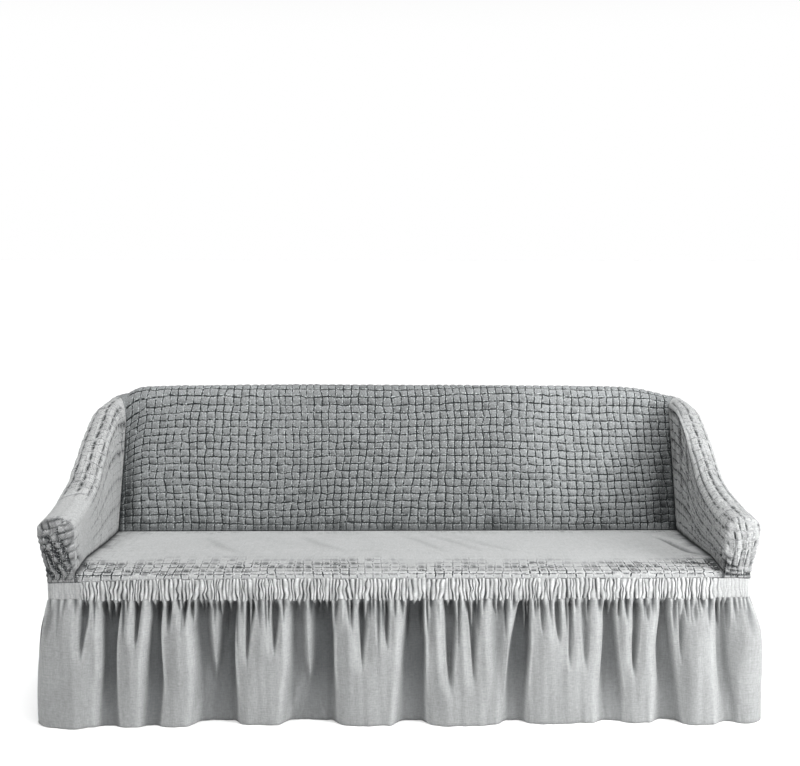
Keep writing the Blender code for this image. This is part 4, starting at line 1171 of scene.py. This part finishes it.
# Arms: one panel each, from the seam with the band over the outer side, the top and the inner side
armLook = {
    "rows": (11, 6, 5, 12),  # rows on the outer wall, the outer and the inner rounding, the inner wall
    "alongCells": 36,
    "fanCells": 4,
    "columnShares": (0, 0.14, 0.50, 0.86),
    "rowShares": (0, 0.14, 0.50, 0.86),
    "faceSteps": 16,
    "middle": (0.985, 0.42),  # line inside the arm that its cloth faces away from, in X and Z
    "stand": 0.0006,
    "coarse": 0.5,  # larger squares for each square along the arm, and their rows
    "coarseRows": (0, 4, 6, 8, 12),
    "squares": {
        "upright": (0.15, 0.9, 0.2, 0.12), "level": (0.45, 1.1, 0.10, 0.45),
        "grooveU": 0.11, "puff": 0.0016, "depth": 0.0020, "rims": 1.2,
    },
    "coarseSquares": {
        "upright": (0.15, 0.9, 0.15, 0.15), "level": (0.7, 1.4, 0.08, 0.5),
        "grooveU": 0.08, "puff": 0.0019, "depth": 0.0026, "lean": 0.0009, "rims": 1.4,
    },
    "coarseGrooveV": {-1: 0.145, 1: 0.105},
    "faceSquares": {
        "upright": (0.3, 1.0, 0.15, 0.35), "level": (0.4, 1.0, 0.1, 0.3),
        "grooveV": 0.15, "depth": 0.0022, "rims": 1.0,
    },
    "faceCorner": (0.93, 0.41),  # where the count of the face's squares starts
    "faceCell": {-1: (0.022, 0.021), 1: (0.019, 0.026)},
    "faceGrooveU": {-1: 0.14, 1: 0.10},
    "facePuff": {-1: 0.0018, 1: 0.0011},
    "faceShade": {-1: 0.52, 1: 0.02},  # painted shade on the front faces between their grooves, heavy on the left
    "leftCalm": 0.10,  # share of the relief left on the smooth part of the left arm
    "finerShare": {-1: 0.45, 1: 0.8},  # how much of the finer squares is left on the inner sides
    "lineCells": 5.0,  # from one long line of the right wing's inner side to the next
    "lineWidth": 0.23,  # half width of a long line, as a share of that
    "lineDepth": 0.0020,
    # painted light on the inner walls, between their grooves
    "wallLight": {-1: 0.25, 1: 0.5},
    "creaseShadeAndLight": 150,  # painted shade in the creases, and painted highlight on their ridges, for each metre of their depth
    # the same for the creases of the front faces
    "faceCreaseShadeAndLight": 260,
    "room": ((0.0245, 0.25, 0.5), (0.020, 0.2, 0.4)),
    "jitter": (0.10, 0.09),
    "drift": (0.28, 0.12),
    "wave": (9, 12),
    "seed": 83,
    "cell": (0.0245, 0.0185),
    "strokes": (0.7, 0.5),
    # painted shade: the right arm is tinted darker than the left, though both are the same cloth
    "tint": {-1: (0.430, 0.437, 0.437), 1: (0.390, 0.397, 0.397)},
    "shadeAndPatchTint": (0.022, 0.024, 0.026),
    "grain": 0.9,
    "grainSize": 200,
    "rim": 1.6,
    # creases over the top of the arm (x, y)
    "topCreases": {
        -1: (
            (((-1.046, -0.225), (-1.000, -0.205), (-0.950, -0.185)), 0.005, -0.0026),
            (((-1.046, -0.210), (-1.000, -0.190), (-0.950, -0.170)), 0.006, 0.0022),
            (((-1.035, -0.415), (-1.000, -0.405), (-0.975, -0.385)), 0.004, -0.0020),
        ),
        1: (
            (((0.955, -0.020), (0.985, -0.120), (0.990, -0.260), (0.985, -0.420)), 0.006, -0.0022),
            (((0.985, 0.000), (1.015, -0.120), (1.018, -0.260), (1.012, -0.420)), 0.006, -0.0020),
        ),
    },
    # creases on the front faces (x, z) and on the inner walls (y, z): points, half width, height
    "faceCreases": {
        -1: (
            (((-1.020, 0.560), (-0.992, 0.510), (-0.962, 0.450)), 0.007, -0.0035),
            (((-1.030, 0.520), (-1.000, 0.470), (-0.972, 0.432)), 0.007, -0.0032),
            (((-0.990, 0.565), (-0.972, 0.520), (-0.955, 0.470)), 0.006, -0.0028),
            (((-1.034, 0.470), (-1.015, 0.445), (-0.998, 0.430)), 0.006, -0.0025),
        ),
        1: (
            (((0.972, 0.570), (0.968, 0.500), (0.962, 0.440)), 0.005, -0.0022),
            (((1.000, 0.575), (0.998, 0.500), (0.992, 0.435)), 0.005, -0.0020),
            (((1.024, 0.560), (1.022, 0.500), (1.014, 0.435)), 0.005, -0.0020),
            (((0.936, 0.482), (0.956, 0.466), (0.985, 0.459)), 0.0045, -0.0046),
            (((0.936, 0.466), (0.960, 0.451), (0.995, 0.447)), 0.0045, -0.0046),
            (((0.936, 0.450), (0.962, 0.438), (0.980, 0.434)), 0.0045, -0.0040),
            (((0.936, 0.505), (0.950, 0.490), (0.966, 0.478)), 0.0040, -0.0030),
            (((0.998, 0.450), (1.010, 0.441), (1.034, 0.438)), 0.0040, -0.0034),
            (((1.004, 0.434), (1.018, 0.431), (1.036, 0.430)), 0.0035, -0.0028),
        ),
    },
    "wallCreases": {
        -1: (
            (((-0.400, 0.520), (-0.380, 0.480), (-0.330, 0.455)), 0.009, -0.0035),
        ),
        1: (
            (((-0.436, 0.484), (-0.405, 0.466), (-0.365, 0.460)), 0.005, -0.0042),
            (((-0.438, 0.468), (-0.400, 0.455), (-0.350, 0.452)), 0.005, -0.0040),
            (((-0.430, 0.505), (-0.400, 0.486), (-0.372, 0.478)), 0.005, -0.0034),
            (((-0.405, 0.530), (-0.392, 0.490), (-0.360, 0.458)), 0.008, -0.0040),
            (((-0.370, 0.540), (-0.355, 0.500), (-0.320, 0.460)), 0.009, -0.0030),
        ),
    },
}


def armShape(side):  # u counts the squares back from the front edge, at 1; v counts them from the band upwards
    look = armLook
    seed = look["seed"] + side
    bodyEnd = 1 + look["alongCells"]
    last, total = bodyEnd + look["fanCells"], sum(look["rows"])
    faceT = np.linspace(0, 1, look["faceSteps"] + 1)[:-1]
    body = cellSteps(last - 1, look["columnShares"]) + 1
    columns = np.concatenate((np.zeros(len(faceT)), [0, 0.25, 0.5, 0.75], body))
    u, v = np.meshgrid(columns, cellSteps(total, look["rowShares"]), indexing="ij")
    face = np.concatenate((faceT, np.ones(len(columns) - len(faceT))))[:, None] + 0 * u
    hold = ease((u - 1) / 1.5) * ease((last - u) / 1.5) * ease(np.minimum(v, total - v) / 1.5)
    uMoved, vMoved = moved(u, v, look, (seed, seed + 20), (last + 3, total + 3), (hold, hold))
    marks = np.concatenate(([0], np.cumsum(look["rows"])))
    q, plainQ = np.interp(vMoved, marks, range(5)), np.interp(v, marks, range(5))
    share, corner = np.interp(uMoved, [1, bodyEnd], [0, 1]), np.interp(uMoved, [bodyEnd, last], [0, 0.5])
    body = sectionPoint(armSection(side, share, np.interp(u, [0, 1], [quarter, 0])), q)
    place = np.where((uMoved > bodyEnd)[..., None], sectionPoint(cornerSection(side, corner), q), body)
    # the front face is filled from an upright line in its middle out to its rounded edge
    outline = armSection(side, np.zeros(1), np.full(1, quarter))
    middle = float(outline[0][0, 0] + outline[4][0, 0]) / 2
    base, head = float(bandHeight(np.array(middle))) + gap, float(outline[2][0, 2]) - cover["faceCore"]
    climb = np.minimum(1, np.minimum(plainQ, 4 - plainQ))
    swell = cover["faceBulge"] * np.sin(math.pi * climb * 0.8)
    core = points(middle, front - swell, span((base, head), climb))
    faceFill = core + (place[len(faceT)][None] - core) * face[..., None]
    faceFill[..., 1] = front - swell * np.cos(face * quarter)
    place = np.where((face < 1)[..., None], faceFill, place)
    cells = (last, total)
    return SimpleNamespace(u=u, v=v, q=plainQ, face=face, climb=climb, marks=marks, cells=cells, place=place)


def armSquares(side, arm):  # relief and groove of the body's squares, and how much of them shows
    look, u, v, q = armLook, arm.u, arm.v, arm.q
    seed = look["seed"] + side
    depthwise = arm.place[..., 1]
    wall, wing = ease((q - 2.8) / 0.4), ease((depthwise + 0.24) / 0.09)
    if side < 0:  # the left arm is pulled nearly smooth between its wing and its front
        uprights, levels = 0.50 + 0.15 * wall, 1.15 - 0.3 * wall
        calm = span((look["leftCalm"], 1), wing) + 0.45 * ease((-0.385 - depthwise) / 0.03)
        calm = calm * (1 - 0.6 * wall * ease((0.74 - arm.place[..., 2]) / 0.12))
        calm = np.maximum(calm, 0.5 * wall * ease((-0.33 - depthwise) / 0.05))
        inside, coarseLevels = 0, 1.1
    else:
        third = np.where(nearest(u) % 3 == 0, 1.0, 0.25)
        uprights = 0.50 * (1 - wall) + wall * (wing * third + 0.85 * (1 - wing))
        levels, calm = 1.15 - 0.6 * wall * (1 - wing), 1
        inside = ease((q - 2.05) / 0.4) * wing
        coarseLevels = 1.1 + 0.4 * inside - wall * wing
    shares = {"uprightShare": uprights, "levelShare": levels}
    relief, groove = crinkles(u, v, {**look["squares"], **shares, "breaks": 0.8 * (1 - wall * wing)}, seed)
    # over the top and down the inner side the squares are larger
    coarseU, coarseV = (u - 1) * look["coarse"] + 1, np.interp(v, arm.marks, look["coarseRows"])
    coarse, coarseGroove = crinkles(coarseU, coarseV, {
        **look["coarseSquares"], "grooveV": look["coarseGrooveV"][side], "breaks": 0.85 * (1 - inside),
        "uprightShare": 0.55 + 0.25 * wall, "levelShare": coarseLevels}, seed + 3)
    if side > 0:  # long grooves up the wing's inner side, darkened with painted shade, each on its own wavering way
        sway = 0.6 * wander(u * 0.3, v, 1, 9, seed + 31) + 0.3 * wander(u, v, 1, 4, seed + 32)
        line = (u + sway) / look["lineCells"]
        lines = bell(line - np.rint(line), look["lineWidth"]) * wall * ease((depthwise + 0.10) / 0.10)
        lines *= ease((3.85 - q) / 0.45) * np.clip(0.9 + 0.3 * wander(u, v, 1, 6, seed + 33), 0.35, 1)
        coarse, coarseGroove = coarse - look["lineDepth"] * lines, np.maximum(coarseGroove, lines)
    over = ease((q - 0.9) / 0.15)
    finer = 1 - over * (1 - look["finerShare"][side] * wall)
    return relief * finer + coarse * over, groove * finer + coarseGroove * over, calm


def armFace(side, place):  # relief, groove and creases of the front face's own rows
    look = armLook
    across, above = np.abs(place[..., 0]) - look["faceCorner"][0], place[..., 2] - look["faceCorner"][1]
    low = ease((0.48 - place[..., 2]) / 0.05)
    wide, tall = look["faceCell"][side]
    if side < 0:  # wavering columns, with rows that climb outwards
        u, v = across / wide + 0.4 * np.sin(above * 50), above / tall + (0.3 + low) * across / 0.024
        shares = {"uprightShare": 0.75 - 0.3 * low}
    else:
        u, v = across / wide + 0.3 * np.sin(above * 40), above / tall
        shares = {"uprightShare": 1.3, "levelShare": 0.2 + 0.9 * low, "breaks": 0.75 * (1 - low)}
    squares = {**look["faceSquares"], "grooveU": look["faceGrooveU"][side], "puff": look["facePuff"][side]}
    u, v = np.clip(u, 0, None) + 1, np.clip(v, 0, None) + 2
    relief, groove = crinkles(u, v, {**squares, **shares}, look["seed"] + side + 5)
    creases = creaseRelief(look["faceCreases"][side], place[..., 0], place[..., 2])
    # painted shade on the front face between its grooves
    return relief + creases, groove + look["faceShade"][side] * (1 - unit(groove)), creases


def makeArm(side):
    look = armLook
    name = "arm_left" if side < 0 else "arm_right"
    arm = armShape(side)
    u, v, q, place, (last, total) = arm.u, arm.v, arm.q, arm.place, arm.cells
    onFace = arm.face < 1
    relief, groove, calm = armSquares(side, arm)
    room = roomHold(place, u + arm.face * 1e-6, v, look["room"])
    hold = edgeHold(u, v, arm.cells, (0.5, 0.35)) * room * calm
    middleX, middleZ = look["middle"]
    towards = place - np.array([side * middleX, 0.0, middleZ])
    towards[..., 1] = np.where(u < 1, -0.5, 0)
    normal = outward(place, towards)
    x, y, z = np.moveaxis(place, -1, 0)
    creases = creaseRelief(look["wallCreases"][side], y, z) * ease((q - 3) / 0.2)
    creases += creaseRelief(look["topCreases"][side], x, y) * ease(q - 0.6) * ease(3.4 - q)
    lift = (relief + look["stand"]) * hold + creases * edgeHold(u, v, arm.cells, (0.8, 0.35))
    place = place + normal * np.where(onFace, 0, lift)[..., None]
    # the front face's pattern runs on a little way round its edge
    faceRelief, faceGroove, faceCreases = armFace(side, place)
    faceHold = ease(arm.climb / 0.06)
    rounding = np.where(onFace, 1, ease((1.5 - u) / 0.7))
    lift = faceRelief * faceHold
    place[..., 1] -= np.where(onFace, lift, 0)
    place += normal * np.where(onFace, 0, lift * rounding)[..., None]
    # painted shade in the creases, painted highlight on raised creases
    faceGroove = faceGroove * faceHold + np.clip(-faceCreases * look["faceCreaseShadeAndLight"], -0.2, 1.0)
    # painted light on the inner walls
    groove = groove - look["wallLight"][side] * ease((q - 2.8) / 0.4) * (1 - unit(groove))
    groove = groove * hold + np.clip(-creases * look["creaseShadeAndLight"], -0.25, 0.6)
    groove = span((groove, faceGroove), rounding)
    # painted shade along the seams, heavy on the inner side and by the front face
    innerHalf, nearFace = v > total / 2, u < 1.5
    edge = np.minimum(np.minimum(last - u, 3), np.minimum(v, total - v))
    ragged = np.random.default_rng(look["seed"] + side + 7).uniform(0.12, 0.42, last + 2)[whole(u)]
    seam = bell(edge, np.where(innerHalf, ragged, np.where(nearFace, 0.30, 0.12)))
    groove = np.clip(np.maximum(groove, np.where(innerHalf | nearFace, 1.0, 0.7) * seam), -1, 1)
    flat = np.stack(((u - 1) * look["cell"][0] - (1 - arm.face) * 0.05, v * look["cell"][1]), -1)
    fine = np.where(onFace, 0.8 * faceHold, unit(hold))
    facing = ((-side * middleX, 0, -0.5), (1, 1, 1))
    look = {**look, "tint": look["tint"][side]}
    piece = clothPiece(name + "_cloth", look, place, flat, facing, groove, fine)
    finishPiece(piece, name)


makeInsideBack()
makeOutsideBack()
makeSeat()
makeBand()
makeArm(-1)
makeArm(1)
for side, width in skirtWidths.items():
    makeSkirt(side, *width)


# Floor, light and camera
studio = {
    "horizon": 1.0,  # brightness of the room low down, and overhead
    "overhead": 0.10,
    "fade": (0.14, 0.45),  # where it fades, as shares of the way up
    "sun": 3.1,  # broad soft light from above
    "sunFrom": (0.0, -0.6, 4.0),
    "sunAngle": 45,
    "key": 112,  # soft box on the right
    "keyAt": (2.9, -2.0, 1.6),
    "keyAim": (0.2, -0.2, 0.4),
    "keySize": 1.6,
    "floor": 1.0,
    "lens": 58.5,
    "cameraAt": (-0.0398, -4.126, 1.428),
    "cameraDown": 0.1156,  # radians below the level, and to the right
    "cameraRight": 0.0107,
}


def makeFloor():
    bm = bmesh.new()
    bmesh.ops.create_grid(bm, x_segments=1, y_segments=1, size=60)
    mesh = bpy.data.meshes.new("floor")
    bm.to_mesh(mesh)
    bm.free()
    mesh.transform(Matrix.Translation((0, 0, -cover["cloth"])))
    floor = bpy.data.objects.new("floor", mesh)
    scene.collection.objects.link(floor)
    paint = bpy.data.materials.new("floor_paint")
    paint.use_nodes = True
    shader = paint.node_tree.nodes["Principled BSDF"]
    shader.inputs["Base Color"].default_value = (studio["floor"], studio["floor"], studio["floor"], 1)
    shader.inputs["Roughness"].default_value = 0.9
    shader.inputs["Specular IOR Level"].default_value = 0.1
    mesh.materials.append(paint)


def makeRoom():  # bright low down, darker overhead
    world = bpy.data.worlds.new("studio")
    world.use_nodes = True
    nodes, links = world.node_tree.nodes, world.node_tree.links
    direction = nodes.new("ShaderNodeTexCoord")
    parts = nodes.new("ShaderNodeSeparateXYZ")
    fade = nodes.new("ShaderNodeMapRange")
    fade.interpolation_type = "SMOOTHSTEP"
    ends = (*studio["fade"], studio["horizon"], studio["overhead"])
    for socket, value in zip(("From Min", "From Max", "To Min", "To Max"), ends):
        fade.inputs[socket].default_value = value
    links.new(direction.outputs["Generated"], parts.inputs[0])
    links.new(parts.outputs["Z"], fade.inputs["Value"])
    links.new(fade.outputs["Result"], nodes["Background"].inputs["Strength"])
    nodes["Background"].inputs["Color"].default_value = (1, 1, 1, 1)
    scene.world = world


def placed(name, data, position, turn):
    holder = bpy.data.objects.new(name, data)
    holder.location = position
    holder.rotation_euler = turn
    scene.collection.objects.link(holder)
    return holder


def makeLamp(name, kind, position, aim, energy, **size):
    lamp = bpy.data.lights.new(name, kind)
    lamp.energy = energy
    for key, value in size.items():
        setattr(lamp, key, value)
    placed(name, lamp, position, (Vector(aim) - Vector(position)).to_track_quat("-Z", "Y").to_euler())


def makeCamera():
    lens = bpy.data.cameras.new("camera")
    lens.lens = studio["lens"]
    lens.sensor_width = 36
    turn = (quarter - studio["cameraDown"], 0, -studio["cameraRight"])
    scene.camera = placed("camera", lens, studio["cameraAt"], turn)
    scene.view_settings.view_transform = "Standard"
    scene.view_settings.look = "None"


makeFloor()
makeRoom()
makeLamp("sun", "SUN", studio["sunFrom"], (0, 0, 0), studio["sun"], angle=math.radians(studio["sunAngle"]))
makeLamp("key", "AREA", studio["keyAt"], studio["keyAim"], studio["key"], size=studio["keySize"])
makeCamera()
print("studio done")
